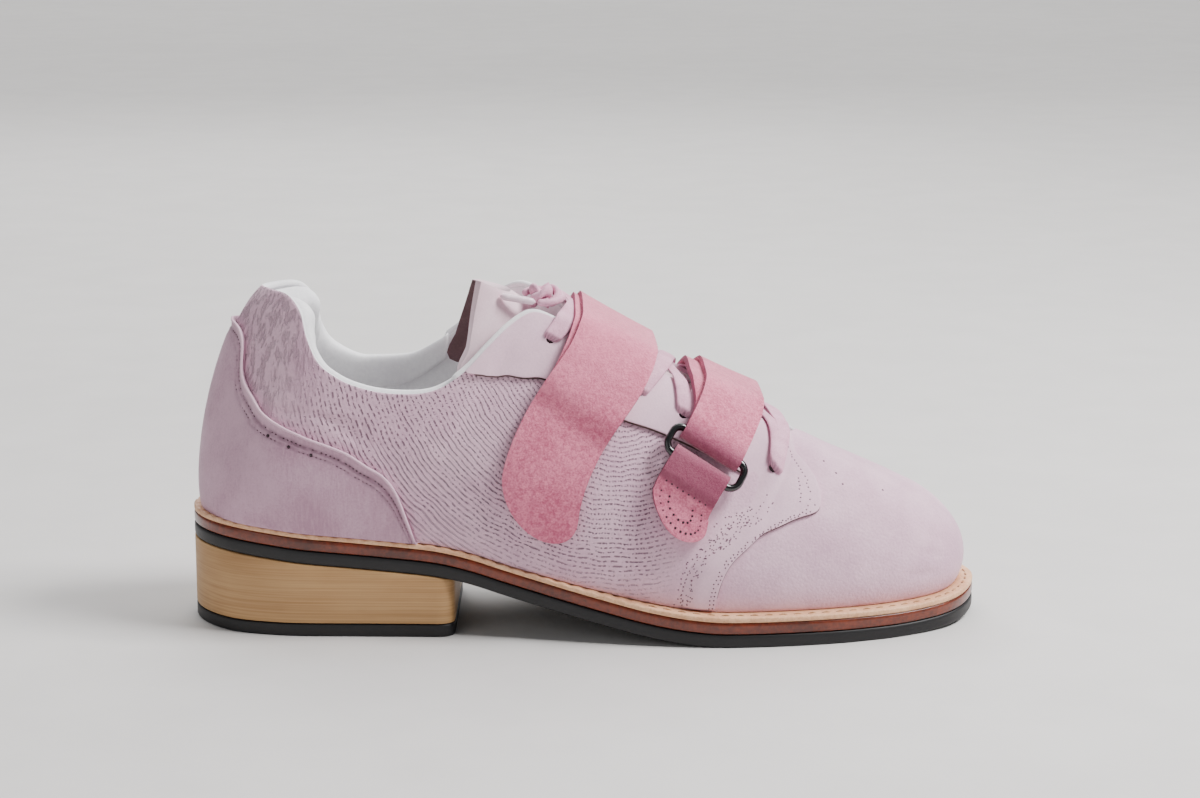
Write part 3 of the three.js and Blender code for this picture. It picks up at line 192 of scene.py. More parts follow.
def read(rows, column, at):
    """Column at a place: a cubic piece between two rows, slopes limited against overshoot."""
    x, y = rows["at"], rows[column]
    at = np.clip(at, x[0], x[-1])
    step = np.diff(x)
    slope = np.diff(y) / step
    before, after = slope[:-1], slope[1:]
    mean = (before * step[1:] + after * step[:-1]) / (step[:-1] + step[1:])
    limit = 3 * np.minimum(abs(before), abs(after))
    inner = np.where(before * after > 0, np.sign(mean) * np.minimum(abs(mean), limit), 0)
    tangent = np.concatenate([slope[:1], inner, slope[-1:]])
    i = np.clip(np.searchsorted(x, at) - 1, 0, len(step) - 1)
    t = (at - x[i]) / step[i]
    return cubic(y[i], y[i + 1] - y[i], tangent[i] * step[i], tangent[i + 1] * step[i], t)


def mix(a, b, t):
    """Straight blend from a to b."""
    return a + (b - a) * t


def smooth(t, low=0.0, high=1.0):
    """Soft step from 0 at low to 1 at high."""
    t = np.clip((t - low) / (high - low), 0, 1)
    return t * t * (3 - 2 * t)


def hump(t, centre, half):
    """Soft bump of height 1 at the centre that ends at half its width away."""
    return 1 - smooth(abs(t - centre), 0, half)


def unit(vectors):
    """Vectors of length 1."""
    return vectors / (np.linalg.norm(vectors, axis=-1, keepdims=True) + 1e-12)


def column(values):
    """Values with one more axis, to multiply points with."""
    return np.asarray(values, float)[..., None]


def walk(points):
    """Length walked along a line at each of its points, from 0."""
    return np.concatenate([[0], np.cumsum(np.linalg.norm(np.diff(points, axis=0), axis=1))])


CORNERS = np.stack([(OUTLINE[:, 0] - 0.5) * LENGTH, OUTLINE[:, 1] * WIDTH], 1)


def outline_curve(t):
    """Closed centripetal curve through the outline's corners, for t from 0 to 1."""
    count = len(CORNERS)
    at = (np.asarray(t, float) % 1) * count
    i = np.floor(at).astype(int)
    w = column(at - i)
    p = [CORNERS[(i + k) % count] for k in (-1, 0, 1, 2)]
    d = [np.sqrt(np.linalg.norm(p[k + 1] - p[k], axis=-1, keepdims=True)) for k in range(3)]
    start = (p[1] - p[0]) / d[0] - (p[2] - p[0]) / (d[0] + d[1]) + (p[2] - p[1]) / d[1]
    end = (p[2] - p[1]) / d[1] - (p[3] - p[1]) / (d[1] + d[2]) + (p[3] - p[2]) / d[2]
    return cubic(p[1], p[2] - p[1], start * d[1], end * d[1], w)


STEPS = np.linspace(0, 1, 1201)
WALKED = walk(outline_curve(STEPS))
TIP_SHARE = max(
    np.arange(0.4, 0.6, 0.0005),
    key=lambda share: outline_curve(np.interp(share * WALKED[-1], WALKED, STEPS))[0],
)


def outline_at(place, inset=0.0):
    """Point of the sole's outline at a place around the shoe, moved inwards, and the way out."""
    place = np.asarray(place, float)
    share = np.where(place < 0, TIP_SHARE * (1 + place), mix(TIP_SHARE, 1, place)) % 1
    t = np.interp(share * WALKED[-1], WALKED, STEPS)
    way = unit(outline_curve(t + 1e-4) - outline_curve(t - 1e-4))
    out = np.stack([way[..., 1], -way[..., 0]], -1)
    return outline_curve(t) - out * column(inset), out


def sole_bottom(x):
    """Height of the outsole's underside along X."""
    return HEEL_RISE * read(SOLE_LINE, "rise", x / LENGTH + 0.5)


# Heights over the outsole's underside
MIDSOLE_FROM = OUTSOLE + CLEAR
MIDSOLE_TOP = MIDSOLE_FROM + MIDSOLE
WELT_FROM = MIDSOLE_TOP + CLEAR
WELT_TOP = WELT_FROM + WELT
FOOT_FROM = WELT_TOP + CLEAR


def upper_inset(place):
    """How far the upper's foot lies inside the outline, where the welt shows."""
    return WELT_SHOWS * read(WELT_EDGE, "share", place)


def rib(place):
    """Four control points of the rib at a place: foot, low bow, high bow and top."""
    here = (np.asarray(place, float) + 1) % 2 - 1
    foot2, out = outline_at(here, upper_inset(here))
    foot = np.concatenate([foot2, column(sole_bottom(foot2[..., 0]) + FOOT_FROM)], -1)
    out = np.concatenate([out, np.zeros(out.shape[:-1] + (1,))], -1) * WIDTH
    top = np.stack([
        (read(RIBS, "along", here) - 0.5) * LENGTH,
        read(RIBS, "across", here) * WIDTH,
        read(RIBS, "up", here) * HEIGHT,
    ], -1)
    height = top[..., 2] - foot[..., 2]
    low = foot + out * column(read(RIBS, "lean", here))
    low[..., 2] = foot[..., 2] + read(RIBS, "rise", here) * height
    high = top + out * column(read(RIBS, "reach", here))
    high[..., 2] = top[..., 2] - read(RIBS, "drop", here) * height
    return foot, low, high, top


def bezier(points, t):
    """Cubic curve of four control points."""
    a, b, c, d = points
    t = column(t)
    s = 1 - t
    return a * s**3 + 3 * b * s * s * t + 3 * c * s * t * t + d * t**3


def skin(place, up):
    """Outer face of the upper: the rib's curve at a share of the way up."""
    place, up = np.broadcast_arrays(np.asarray(place, float), np.asarray(up, float))
    return bezier(rib(place), up)


def skin_normal(place, up):
    """Outward direction of the upper, from neighbours along and up the rib."""
    low = np.minimum(up, 1 - SMALL)
    along = skin(place + SMALL, up) - skin(place - SMALL, up)
    rise = skin(place, low + SMALL) - skin(place, low - SMALL)
    return unit(np.cross(along, rise))


def off_skin(place, up, lift):
    """Point above the upper's outer face."""
    place, up, lift = np.broadcast_arrays(np.asarray(place, float), up, lift)
    return skin(place, up) + skin_normal(place, up) * column(lift)


BRIDGE = 0.16
DOME = 0.1


def instep(back, side):
    """Instep as one sheet: back from the toe, side from -1 (outer) over the throat to 1."""
    back, side = np.broadcast_arrays(np.asarray(back, float), np.asarray(side, float))
    half = BRIDGE * smooth(back, THROAT - 0.005, THROAT + 0.05)
    size = abs(side)
    leather = bezier(rib(np.where(side < 0, -back, back)), np.clip((1 - size) / (1 - half), 0, 1.2))
    outer, inner = rib(-back), rib(back)
    span = column(np.linalg.norm(outer[3] - inner[3], axis=-1) * DOME)
    left = outer[3] + unit(outer[3] - outer[2]) * span
    right = inner[3] + unit(inner[3] - inner[2]) * span
    across = (side / np.maximum(half, 1e-9) + 1) / 2
    bridge = bezier((outer[3], left, right, inner[3]), np.clip(across, 0, 1))
    return np.where(column(size >= half) > 0, leather, bridge)


def instep_normal(back, side):
    """Outward direction of the instep sheet."""
    across = instep(back, side + SMALL) - instep(back, side - SMALL)
    along = instep(back + SMALL, side) - instep(back - SMALL, side)
    return unit(np.cross(across, along))


# Where the middle of the part's own millimetres lies in the frame
tip_x = outline_at(0.0)[0][0]
outer_y = outline_at(np.linspace(-1, 1, 2001))[0][:, 1].min()
SHIFT = np.array([
    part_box("outsole")[1][0] * 1000 - tip_x,
    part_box("outsole")[0][1] * 1000 - outer_y,
    0,
])


# Meshes

WELD_DIGITS = 4


def volume(points, faces):
    """Six times the volume inside four-cornered faces, below 0 where they face inwards."""
    a, b, c, d = (points[faces[:, k]] for k in range(4))
    return (a * (np.cross(b, c) + np.cross(c, d))).sum()


def put(name, points, faces, finishes, uv=None, fields=None, face_finish=None, sheet=False):
    """Mesh object from points in millimetres and four-cornered faces, smooth, with its
    finishes. Points that lie on each other become one, so that seams and ends close, and
    a closed piece, which isn't a sheet, gets its faces outwards."""
    mesh = bpy.data.meshes.new(name)
    flat = points.reshape(-1, 3)
    if not sheet and volume(flat, faces) < 0:
        faces = faces[:, ::-1]
    _, first, merged = np.unique(
        flat.round(WELD_DIGITS), axis=0, return_index=True, return_inverse=True)
    used, faces = np.unique(merged.reshape(-1)[faces], return_inverse=True)
    keep = first[used]
    corners = [list(dict.fromkeys(face)) for face in faces.reshape(-1, 4).tolist()]
    whole = np.array([len(face) > 2 for face in corners])
    spots = (flat[keep] + SHIFT) * 0.001
    mesh.from_pydata(spots.tolist(), [], [face for face in corners if len(face) > 2])
    if uv is not None:
        loops = np.empty(len(mesh.loops), int)
        mesh.loops.foreach_get("vertex_index", loops)
        layer = mesh.uv_layers.new(name="flow")
        layer.data.foreach_set("uv", uv.reshape(-1, 2)[keep][loops].ravel())
    for field, values in (fields or {}).items():
        attribute = mesh.attributes.new(field, "FLOAT", "POINT")
        values = np.broadcast_to(values, points.shape[:-1])
        attribute.data.foreach_set("value", values.ravel()[keep])
    for finish in finishes:
        mesh.materials.append(finish)
    if face_finish is not None:
        mesh.polygons.foreach_set("material_index", face_finish[whole])
    mesh.polygons.foreach_set("use_smooth", np.ones(len(mesh.polygons), bool))
    mesh.validate()
    piece = bpy.data.objects.new(name, mesh)
    bpy.context.scene.collection.objects.link(piece)
    return piece


def grid_faces(rows, columns, around_rows=False, around_columns=False):
    """Quads of a grid of points, which may close on itself either way."""
    i = np.arange(rows if around_rows else rows - 1)[:, None]
    j = np.arange(columns if around_columns else columns - 1)[None, :]
    i2, j2 = (i + 1) % rows, (j + 1) % columns
    quads = np.stack(np.broadcast_arrays(
        i * columns + j, i2 * columns + j, i2 * columns + j2, i * columns + j2), -1)
    return quads.reshape(-1, 4)


def grid_piece(name, grid, finishes, flip=False, around_rows=False, around_columns=False, **more):
    """Mesh of one grid of points; flip turns its faces over."""
    faces = grid_faces(grid.shape[0], grid.shape[1], around_rows, around_columns)
    return put(name, grid, faces[:, ::-1] if flip else faces, finishes, **more)


def closed_piece(name, grid, finish, around_rows=False):
    """Mesh of a grid whose rows are closed loops, such as a tube."""
    return grid_piece(name, grid, [finish], around_rows=around_rows, around_columns=True)


def modifier(piece, kind, **settings):
    """Adds a modifier to a piece."""
    added = piece.modifiers.new(kind.lower(), kind)
    for key, value in settings.items():
        setattr(added, key, value)
    return added


def give_thickness(piece, thick, offset=-1.0, inside=0, rim=0, bevel=0.0):
    """Turns a face into leather of a thickness, with soft cut edges."""
    modifier(piece, "SOLIDIFY", thickness=thick * 0.001, offset=offset, use_rim=True,
             material_offset=inside, material_offset_rim=rim, use_even_offset=False)
    if bevel:
        modifier(piece, "BEVEL", width=bevel * 0.001, segments=2, limit_method="ANGLE",
                 angle_limit=math.radians(50), harden_normals=False)
    return piece


def dress(piece, slot, *nodes):
    """Says what a piece rides on and hides the nodes that it stands for; its slot is not used."""
    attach(piece, "root")
    if nodes:
        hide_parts(*nodes)
    return piece


# Finishes

def rgb(red, green, blue):
    """Colour in linear light from 0 to 255 values."""
    values = np.array([red, green, blue]) / 255
    linear = np.where(values <= 0.04045, values / 12.92, ((values + 0.055) / 1.055) ** 2.4)
    return (*linear, 1.0)


class Finish:
    """A material's nodes, with short calls that add them."""

    def __init__(self, name, roughness, **settings):
        self.material = bpy.data.materials.new(name)
        self.material.use_nodes = True
        self.tree = self.material.node_tree
        self.shader = self.tree.nodes["Principled BSDF"]
        self.shader.inputs["Roughness"].default_value = roughness
        for key, value in settings.items():
            self.shader.inputs[key.replace("_", " ")].default_value = value
        self.place = self.node("TexCoord").outputs["Object"]

    def node(self, kind, inputs=None, **settings):
        """Adds a node, sets it and feeds its inputs."""
        added = self.tree.nodes.new("ShaderNode" + kind)
        for key, value in settings.items():
            setattr(added, key, value)
        for key, value in (inputs or {}).items():
            if isinstance(value, bpy.types.NodeSocket):
                self.tree.links.new(value, added.inputs[key])
            else:
                added.inputs[key].default_value = value
        return added

    def math(self, operation, a, b=0.0, c=0.0):
        """One sum of two or three values."""
        added = self.node("Math", {0: a, 1: b, 2: c}, operation=operation)
        return added.outputs[0]

    def times(self, a, b):
        """Product of two values."""
        return self.math("MULTIPLY", a, b)

    def field(self, name):
        """A value kept at the points of the mesh."""
        return self.node("Attribute", attribute_name=name, attribute_type="GEOMETRY").outputs["Fac"]

    def scaled(self, vector, scale):
        """Coordinates stretched by a scale for each way."""
        return self.node("Mapping", {"Vector": vector, "Scale": scale}).outputs["Vector"]

    def noise(self, vector, size, detail=3.0, rough=0.55, stretch=(1, 1, 1)):
        """Cloudy pattern of a size in millimetres."""
        where = self.scaled(vector, stretch) if stretch != (1, 1, 1) else vector
        inputs = {"Vector": where, "Scale": 1000 / size, "Detail": detail, "Roughness": rough}
        return self.node("TexNoise", inputs).outputs["Fac"]

    def ramp(self, value, low, high):
        """Value brought from between low and high to between 0 and 1."""
        inputs = {"Value": value, "From Min": low, "From Max": high}
        return self.node("MapRange", inputs, interpolation_type="SMOOTHSTEP").outputs["Result"]

    def blend(self, share, a, b):
        """Colour between two colours."""
        added = self.node("Mix", data_type="RGBA")
        for key, value in (("Factor_Float", share), ("A_Color", a), ("B_Color", b)):
            socket = next(s for s in added.inputs if s.identifier == key)
            if isinstance(value, bpy.types.NodeSocket):
                self.tree.links.new(value, socket)
            else:
                socket.default_value = value
        return next(s for s in added.outputs if s.identifier == "Result_Color")

    def mottled(self, low, high, dark, light, *patterns):
        """Colour from dark to light by the sum of patterns, each with its share."""
        total = 0.0
        for pattern, share in patterns:
            total = self.math("MULTIPLY_ADD", pattern, share, total)
        return self.blend(self.ramp(total, low, high), dark, light)

    def bump(self, height, depth, strength=1.0, under=None):
        """Relief of a depth in millimetres, on top of another."""
        inputs = {"Height": height, "Distance": depth * 0.001, "Strength": strength}
        if under is not None:
            inputs["Normal"] = under
        return self.node("Bump", inputs).outputs["Normal"]

    def set(self, **outputs):
        """Feeds the shader's inputs."""
        for key, value in outputs.items():
            self.tree.links.new(value, self.shader.inputs[key.replace("_", " ")])
        return self.material


# Distance between the quarter's rows of pits, and how much painted shade darkens pits, lines and
# heel folds
ROW_GAP = 1.65
PIT_SHADE = 0.72
LINE_SHADE = 0.42
FOLD_SHADE = 0.28
# Colour of the painted shade in the quarter's pits and lines and in the heel tab's folds
PAINTED_HOLLOW_SHADE = rgb(100, 72, 88)


def leather_finish(name, light, dark, grain=0.25, pits=False, brushed=False):
    """Nubuck: cloudy colour, fine nap, and pits and lines that follow the flow of the hide,
    darkened with painted shade and with a painted highlight on the ridges between them; brushed, it
    has painted shade in its stitched grooves.
    """
    f = Finish(name, 0.72, Sheen_Weight=0.2, Sheen_Roughness=0.45, Specular_IOR_Level=0.3)
    clouds = f.noise(f.place, 26, 4.0, 0.6)
    nap = f.noise(f.place, 0.8, 4.0, 0.7)
    colour = f.mottled(0.35, 0.65, dark, light, (clouds, 0.65), (nap, 0.35))
    normal = f.bump(nap, grain, 0.5)
    if brushed:
        hairs = f.noise(f.place, 1.1, 3.0, 0.65, (1, 1, 0.12))
        colour = f.blend(f.times(f.ramp(hairs, 0.45, 0.65), 0.35), colour, light)
        normal = f.bump(hairs, 0.35, 0.6, normal)
        # Painted shade in the counter's stitched grooves
        groove = f.times(f.field("groove"), f.ramp(f.noise(f.place, 1.6, 2.0), 0.3, 0.55))
        colour = f.blend(f.times(groove, 0.55), colour, rgb(92, 64, 78))
    if pits:
        pebble = f.node("TexVoronoi", {"Vector": f.place, "Scale": 900.0}).outputs["Distance"]
        normal = f.bump(f.math("SUBTRACT", 1.0, pebble), 0.22, 0.45, normal)
        flow = f.node("UVMap", uv_map="flow").outputs["UV"]
        sway_node = f.node("TexNoise", {"Vector": flow, "Scale": 90.0, "Detail": 2.0})
        warped = f.node("VectorMath", {
            0: sway_node.outputs["Color"], 1: (0.004, 0.003, 0), 2: flow,
        }, operation="MULTIPLY_ADD").outputs[0]
        out = f.node("SeparateXYZ", {"Vector": warped}).outputs["Y"]
        waves = f.math("SINE", f.times(out, 2 * math.pi * 1000 / ROW_GAP))
        rows = f.ramp(waves, 0.1, 1.0)

        def broken(stretch, detail, low, high, field):
            """Rows broken up by clouds that are stretched along them, where a field has them."""
            clouds = f.node("TexNoise", {
                "Vector": f.scaled(warped, stretch), "Scale": 1.0, "Detail": detail,
            }, noise_dimensions="2D").outputs["Fac"]
            return f.times(f.times(rows, f.ramp(clouds, low, high)), f.field(field))

        pit = broken((940, 600, 1), 1.0, 0.47, 0.6, "pits")
        line = broken((90, 260, 1), 2.0, 0.3, 0.6, "lines")
        # Painted highlight on the ridges between the rows of pits
        painted_ridge_highlight = f.times(f.ramp(waves, 0.3, -0.9), f.field("pits"))
        colour = f.blend(f.times(painted_ridge_highlight, 0.45), colour, light)
        hairs = f.noise(f.place, 1.5, 3.0, 0.6, (1, 1, 0.1))
        fold = f.times(f.ramp(hairs, 0.46, 0.64), f.field("tab"))
        # Painted shade in the pits, lines and heel folds, where their relief would be shadowed
        hollow_painted_shade = f.math("MAXIMUM", f.times(pit, PIT_SHADE), f.times(line, LINE_SHADE))
        hollow_painted_shade = f.math("MAXIMUM", hollow_painted_shade, f.times(fold, FOLD_SHADE))
        colour = f.blend(hollow_painted_shade, colour, PAINTED_HOLLOW_SHADE)
        hollow = f.math("MAXIMUM", f.math("MAXIMUM", pit, f.times(line, 0.8)), fold)
        normal = f.bump(f.math("SUBTRACT", 1.0, hollow), 0.8, 0.9, normal)
    return f.set(Base_Color=colour, Normal=normal)


def suede_finish(name, light, dark):
    """Suede: fine mottled nap, paler high up as a painted highlight where light falls on the crest,
    with a soft sheen.
    """
    f = Finish(name, 0.9, Sheen_Weight=0.5, Sheen_Roughness=0.4, Specular_IOR_Level=0.15)
    nap = f.noise(f.place, 0.7, 4.0, 0.75)
    tufts = f.noise(f.place, 2.0, 3.0, 0.65)
    clouds = f.noise(f.place, 16, 3.0, 0.5)
    colour = f.mottled(0.36, 0.64, dark, light, (nap, 0.5), (tufts, 0.3), (clouds, 0.2))
    # Paler high up: painted highlight for the light on the straps' crest
    height = f.node("SeparateXYZ", {"Vector": f.place}).outputs["Z"]
    colour = f.blend(f.times(f.ramp(height, 0.07, 0.108), 0.45), colour, light)
    # Darker round the fold at the ring: painted shade
    colour = f.blend(f.times(f.field("fold"), 0.75), colour, rgb(122, 62, 84))
    return f.set(Base_Color=colour, Normal=f.bump(tufts, 0.5, 0.6, f.bump(nap, 0.4, 0.8)))


def plain_finish(name, light, dark, roughness, size=1.0, depth=0.1, gather=None, **settings):
    """A finish with two near colours in clouds and a fine relief; a lace has one more, darker
    colour, painted shade, for where it gathers into a hole."""
    f = Finish(name, roughness, **settings)
    grain = f.noise(f.place, size, 4.0, 0.6)
    clouds = f.noise(f.place, size * 12, 3.0, 0.6)
    colour = f.mottled(0.35, 0.65, dark, light, (grain, 0.5), (clouds, 0.5))
    # Painted shade where a lace gathers into a hole
    if gather is not None:
        colour = f.blend(f.times(f.field("gather"), 0.7), colour, gather)
    return f.set(Base_Color=colour, Normal=f.bump(grain, depth, 0.6))


def wood_finish(name):
    """Pale wood: fine lines along the length, darker in places."""
    f = Finish(name, 0.5, Specular_IOR_Level=0.35)
    long_grain = f.noise(f.place, 30, 5.0, 0.65, (0.3, 1, 45))
    clouds = f.noise(f.place, 30, 3.0, 0.6, (0.6, 1, 2))
    colour = f.mottled(0.33, 0.67, rgb(170, 128, 84), rgb(198, 158, 110),
                       (long_grain, 0.65), (clouds, 0.35))
    return f.set(Base_Color=colour, Normal=f.bump(long_grain, 0.08, 0.5))


NUBUCK = leather_finish("nubuck", rgb(232, 193, 211), rgb(208, 165, 187), pits=True)
SMOOTH_NUBUCK = leather_finish("smooth_nubuck", rgb(236, 199, 215), rgb(218, 179, 198), 0.15)
COUNTER_NUBUCK = leather_finish("counter_nubuck", rgb(212, 173, 192), rgb(182, 140, 161),
                                brushed=True)
LINING = plain_finish("lining", rgb(248, 247, 248), rgb(236, 234, 237), 0.85, 1.2, 0.1)
TONGUE_LEATHER = leather_finish("tongue_leather", rgb(238, 210, 219), rgb(222, 190, 201), 0.12)
# Back face of the tongue: the tongue's own leather darkened, painted shade for the side turned away
# from the light
TONGUE_BACK_PAINTED_SHADE = leather_finish("tongue_back_painted_shade", rgb(136, 102, 104), rgb(104, 74, 78), 0.2)
SUEDE = suede_finish("suede", rgb(242, 144, 170), rgb(190, 88, 118))
RUBBER = plain_finish("rubber", rgb(19, 18, 21), rgb(12, 11, 13), 0.5, 0.8, 0.08)
SOLE_LEATHER = plain_finish("sole_leather", rgb(122, 46, 16), rgb(74, 26, 10), 0.3, 1.5, 0.1,
                            Coat_Weight=0.35, Coat_Roughness=0.25)
WELT_LEATHER = plain_finish("welt_leather", rgb(238, 192, 152), rgb(212, 158, 120), 0.55, 1.0, 0.15)
WOOD = wood_finish("wood")
PAINTED = plain_finish("painted_metal", rgb(15, 15, 17), rgb(9, 9, 11), 0.22, 2.0, 0.02,
                       Coat_Weight=0.6, Coat_Roughness=0.12)
# Its third colour is painted shade where the lace gathers into a hole
LACE_CLOTH = plain_finish("lace_cloth", rgb(232, 176, 200), rgb(206, 144, 171), 0.6, 0.5, 0.12,
                          rgb(112, 72, 90), Sheen_Weight=0.2)
LACE_TIP = plain_finish("lace_plastic", rgb(240, 216, 226), rgb(226, 198, 211), 0.3, 2.0, 0.02)
# Rims of the straps and tabs: the suede darkened, painted shade on their cut edges
SUEDE_EDGE_PAINTED_SHADE = plain_finish("suede_edge_painted_shade", rgb(176, 96, 122), rgb(138, 68, 92), 0.95, 0.7, 0.2)
PINHOLE = plain_finish("pinhole_shadow", rgb(128, 98, 112), rgb(104, 78, 92), 0.95, 0.5, 0.02)
THREAD = plain_finish("thread", rgb(214, 170, 130), rgb(180, 134, 98), 0.7, 0.5, 0.1)
# Dark cut edge of the facing together with the painted shadow under its step
CUT_EDGE_WITH_SHADOW = plain_finish("cut_edge_with_painted_shadow", rgb(104, 82, 80), rgb(72, 54, 54), 0.85, 0.6, 0.15)
HOLE = plain_finish("hole_shadow", rgb(70, 50, 58), rgb(44, 30, 36), 0.95, 0.5, 0.02)

# Camera
TILT = math.radians(12.5)
DISTANCE = 1.0
AIM = (0.005415, 0.0, 0.07895)
MM_PER_PIXEL = 0.3609
FRAME_WIDTH = 1200
SENSOR = 36
camera_data = bpy.data.cameras.new("camera")
camera_data.sensor_width = SENSOR
camera_data.lens = SENSOR * (DISTANCE * 1000 / MM_PER_PIXEL) / FRAME_WIDTH
camera = bpy.data.objects.new("camera", camera_data)
camera.location = (AIM[0], AIM[1] - DISTANCE * math.cos(TILT), AIM[2] + DISTANCE * math.sin(TILT))
camera.rotation_euler = (math.pi / 2 - TILT, 0, 0)
bpy.context.scene.collection.objects.link(camera)
bpy.context.scene.camera = camera


# Lofts along a path

def smooth_line(points, count):
    """Points of one smooth curve through a few, evenly spread by length."""
    points = np.asarray(points, float)
    ends = np.concatenate([2 * points[:1] - points[1:2], points, 2 * points[-1:] - points[-2:-1]])
    t = np.linspace(0, len(points) - 1, 40 * len(points))
    i = np.minimum(t.astype(int), len(points) - 2)
    w = column(t - i)
    p0, p1, p2, p3 = (ends[i + k] for k in range(4))
    fine = 0.5 * (2 * p1 + (p2 - p0) * w + (2 * p0 - 5 * p1 + 4 * p2 - p3) * w**2
                  + (3 * p1 - p0 - 3 * p2 + p3) * w**3)
    walked = walk(fine)
    even = np.linspace(0, walked[-1], count)
    return np.stack([np.interp(even, walked, fine[:, k]) for k in range(3)], 1)


def tube(line, wide, thick, level, sides=16, round_ends=True):
    """Tube along a line: an oval, wide across and thick along the level direction."""
    way = unit(np.gradient(line, axis=0))
    over = unit(level - way * column((way * level).sum(-1)))
    across = np.cross(over, way)
    turn = np.linspace(0, 2 * math.pi, sides, endpoint=False)
    size = np.ones(len(line))
    if round_ends:
        size[[0, -1]] = 0
        size[[1, -2]] = 0.8
    wide = np.broadcast_to(wide, len(line))[:, None, None] / 2 * size[:, None, None]
    thick = np.broadcast_to(thick, len(line))[:, None, None] / 2 * size[:, None, None]
    around = across[:, None] * np.cos(turn)[None, :, None] * wide
    return line[:, None] + around + over[:, None] * np.sin(turn)[None, :, None] * thick


def tube_piece(name, line, wide, thick, level, finish, sides=16):
    """Mesh of one tube."""
    return closed_piece(name, tube(line, wide, thick, level, sides), finish)


def joined_grids(name, grids, finishes, **more):
    """One mesh of several grids whose rows are closed loops."""
    points, faces, start = [], [], 0
    for grid in grids:
        faces.append(grid_faces(grid.shape[0], grid.shape[1], around_columns=True) + start)
        points.append(grid.reshape(-1, 3))
        start += len(points[-1])
    return put(name, np.concatenate(points), np.concatenate(faces), finishes, **more)


def rings_round(centres, ways, size, sides):
    """A small ring of points round each centre, square to its way."""
    side = unit(np.cross(ways, (0.31, 0.27, 0.91)))
    other = np.cross(unit(ways), side)
    turn = np.linspace(0, 2 * math.pi, sides, endpoint=False)[None, :, None]
    return centres[:, None] + size * (side[:, None] * np.cos(turn) + other[:, None] * np.sin(turn))


def lenses(name, centres, normals, radius, finish, high=0.06, deep=0.3):
    """Small round dots: each a flat closed lens, its rim in the surface."""
    rim = rings_round(centres, normals, radius, 8)
    top = (centres + normals * high)[:, None] + 0 * rim
    foot = (centres - normals * deep)[:, None] + 0 * rim
    return joined_grids(name, np.stack([foot, rim, top], 1), [finish])


def spikes(name, roots, ways, size, finish):
    """Short loose fibres: each a thin closed spindle from its root along its way."""
    ring = rings_round(roots + ways * 0.3, ways, size, 4)
    root, end = roots[:, None] + 0 * ring, (roots + ways)[:, None] + 0 * ring
    return joined_grids(name, np.stack([root, ring, end], 1), [finish])


# Lace end: the same route from the middle of the knot as in the part
END_ROUTE = np.array([
    (-6.6, 0, 0.7), (-6.31, 1.93, 0.85), (-5.47, 3.69, 1), (-4.15, 5.13, 1.1), (-2.47, 6.12, 1.1),
    (-0.58, 6.57, 1), (1.37, 6.46, 0.85), (3.2, 5.77, 0.65), (4.75, 4.58, 0.4), (5.88, 3, 0.15),
    (6.5, 1.15, -0.15), (6.55, -0.8, -0.45), (6.03, -2.68, -0.75), (4.98, -4.33, -1.05),
    (3.5, -5.6, -1.3), (1.71, -6.38, -1.45), (-0.2, -6.65, -1.45), (-2.2, -6.9, -1.3),
])


# Sole

def around_places(count):
    """Places around the whole shoe, closer together at the toe and heel."""
    half = 0.5 * (1 - np.cos(np.linspace(0, math.pi, count + 1)))
    return np.concatenate([-half[::-1], half[1:-1]])


# Rounded edge of a layer: share of its thickness up, share of the rounding inwards
EDGE_UP = np.array([0, 0.05, 0.16, 0.34, 0.66, 0.84, 0.95, 1])
EDGE_IN = np.array([1, 0.45, 0.1, 0, 0, 0.1, 0.45, 1])


def sole_layer(name, bottom, top, finish, inset=lambda place: 0.0, bulge=0.5, cells=9):
    """Layer of the sole: rows from side to side, each a closed loop with a rounded edge."""
    along = 0.5 * (1 - np.cos(np.linspace(0, math.pi, 121)))
    round_off, high = EDGE_IN * bulge, EDGE_UP

    def edge(side):
        place = np.broadcast_to(side * along[:, None], (len(along), len(high)))
        flat, _ = outline_at(place, inset(place) + round_off[None, :])
        z = sole_bottom(flat[..., 0]) + mix(bottom, top, high[None, :])
        return np.concatenate([flat, column(z)], -1)

    outer, inner = edge(-1), edge(1)[:, ::-1]
    share = np.linspace(0, 1, cells + 2)[1:-1][None, :, None]

    def span(a, b, lift):
        flat = mix(a[:, None], b[:, None], share)
        flat[..., 2] = sole_bottom(flat[..., 0]) + lift
        return flat

    over = span(outer[:, -1], inner[:, 0], top)
    under = span(inner[:, -1], outer[:, 0], bottom)
    grid = np.concatenate([outer, over, inner, under], 1)
    return closed_piece(name, grid, finish)


def heel_loop(inset):
    """Loop of the heel: the sole's outline behind a straight breast with round corners."""
    front = BREAST_AT - LENGTH / 2
    places = np.concatenate([np.linspace(-0.55, -1, 90), np.linspace(1, 0.55, 90)[1:]])
    flat, _ = outline_at(places, inset)
    flat = flat[flat[:, 0] < front - BREAST_CORNER]
    t = np.linspace(0, 1, 10)[1:]

    def corner(side_y, y):
        start = np.array([front - BREAST_CORNER, side_y])
        middle = np.array([front - inset, side_y])
        end = np.array([front - inset, y])
        return bezier((start, mix(start, middle, 0.66), mix(end, middle, 0.66), end), t)

    outer_y, inner_y = flat[0, 1], flat[-1, 1]
    round_in = corner(inner_y, inner_y - BREAST_CORNER)
    round_out = corner(outer_y, outer_y + BREAST_CORNER)[::-1]
    breast = mix(round_in[-1], round_out[0], np.linspace(0, 1, 12)[1:-1, None])
    return np.concatenate([flat, round_in, breast, round_out])


HEEL_EDGE = 0.5
# Rings of a heel part from the middle of a face to its side: share of HEEL_EDGE inwards,
# share of the way out from the middle, share of HEEL_EDGE away from the face
HEEL_RINGS = [(1, 0, 0), (1, 0.5, 0), (1, 1, 0), (0.3, 1, 0.25), (0, 1, 1)]


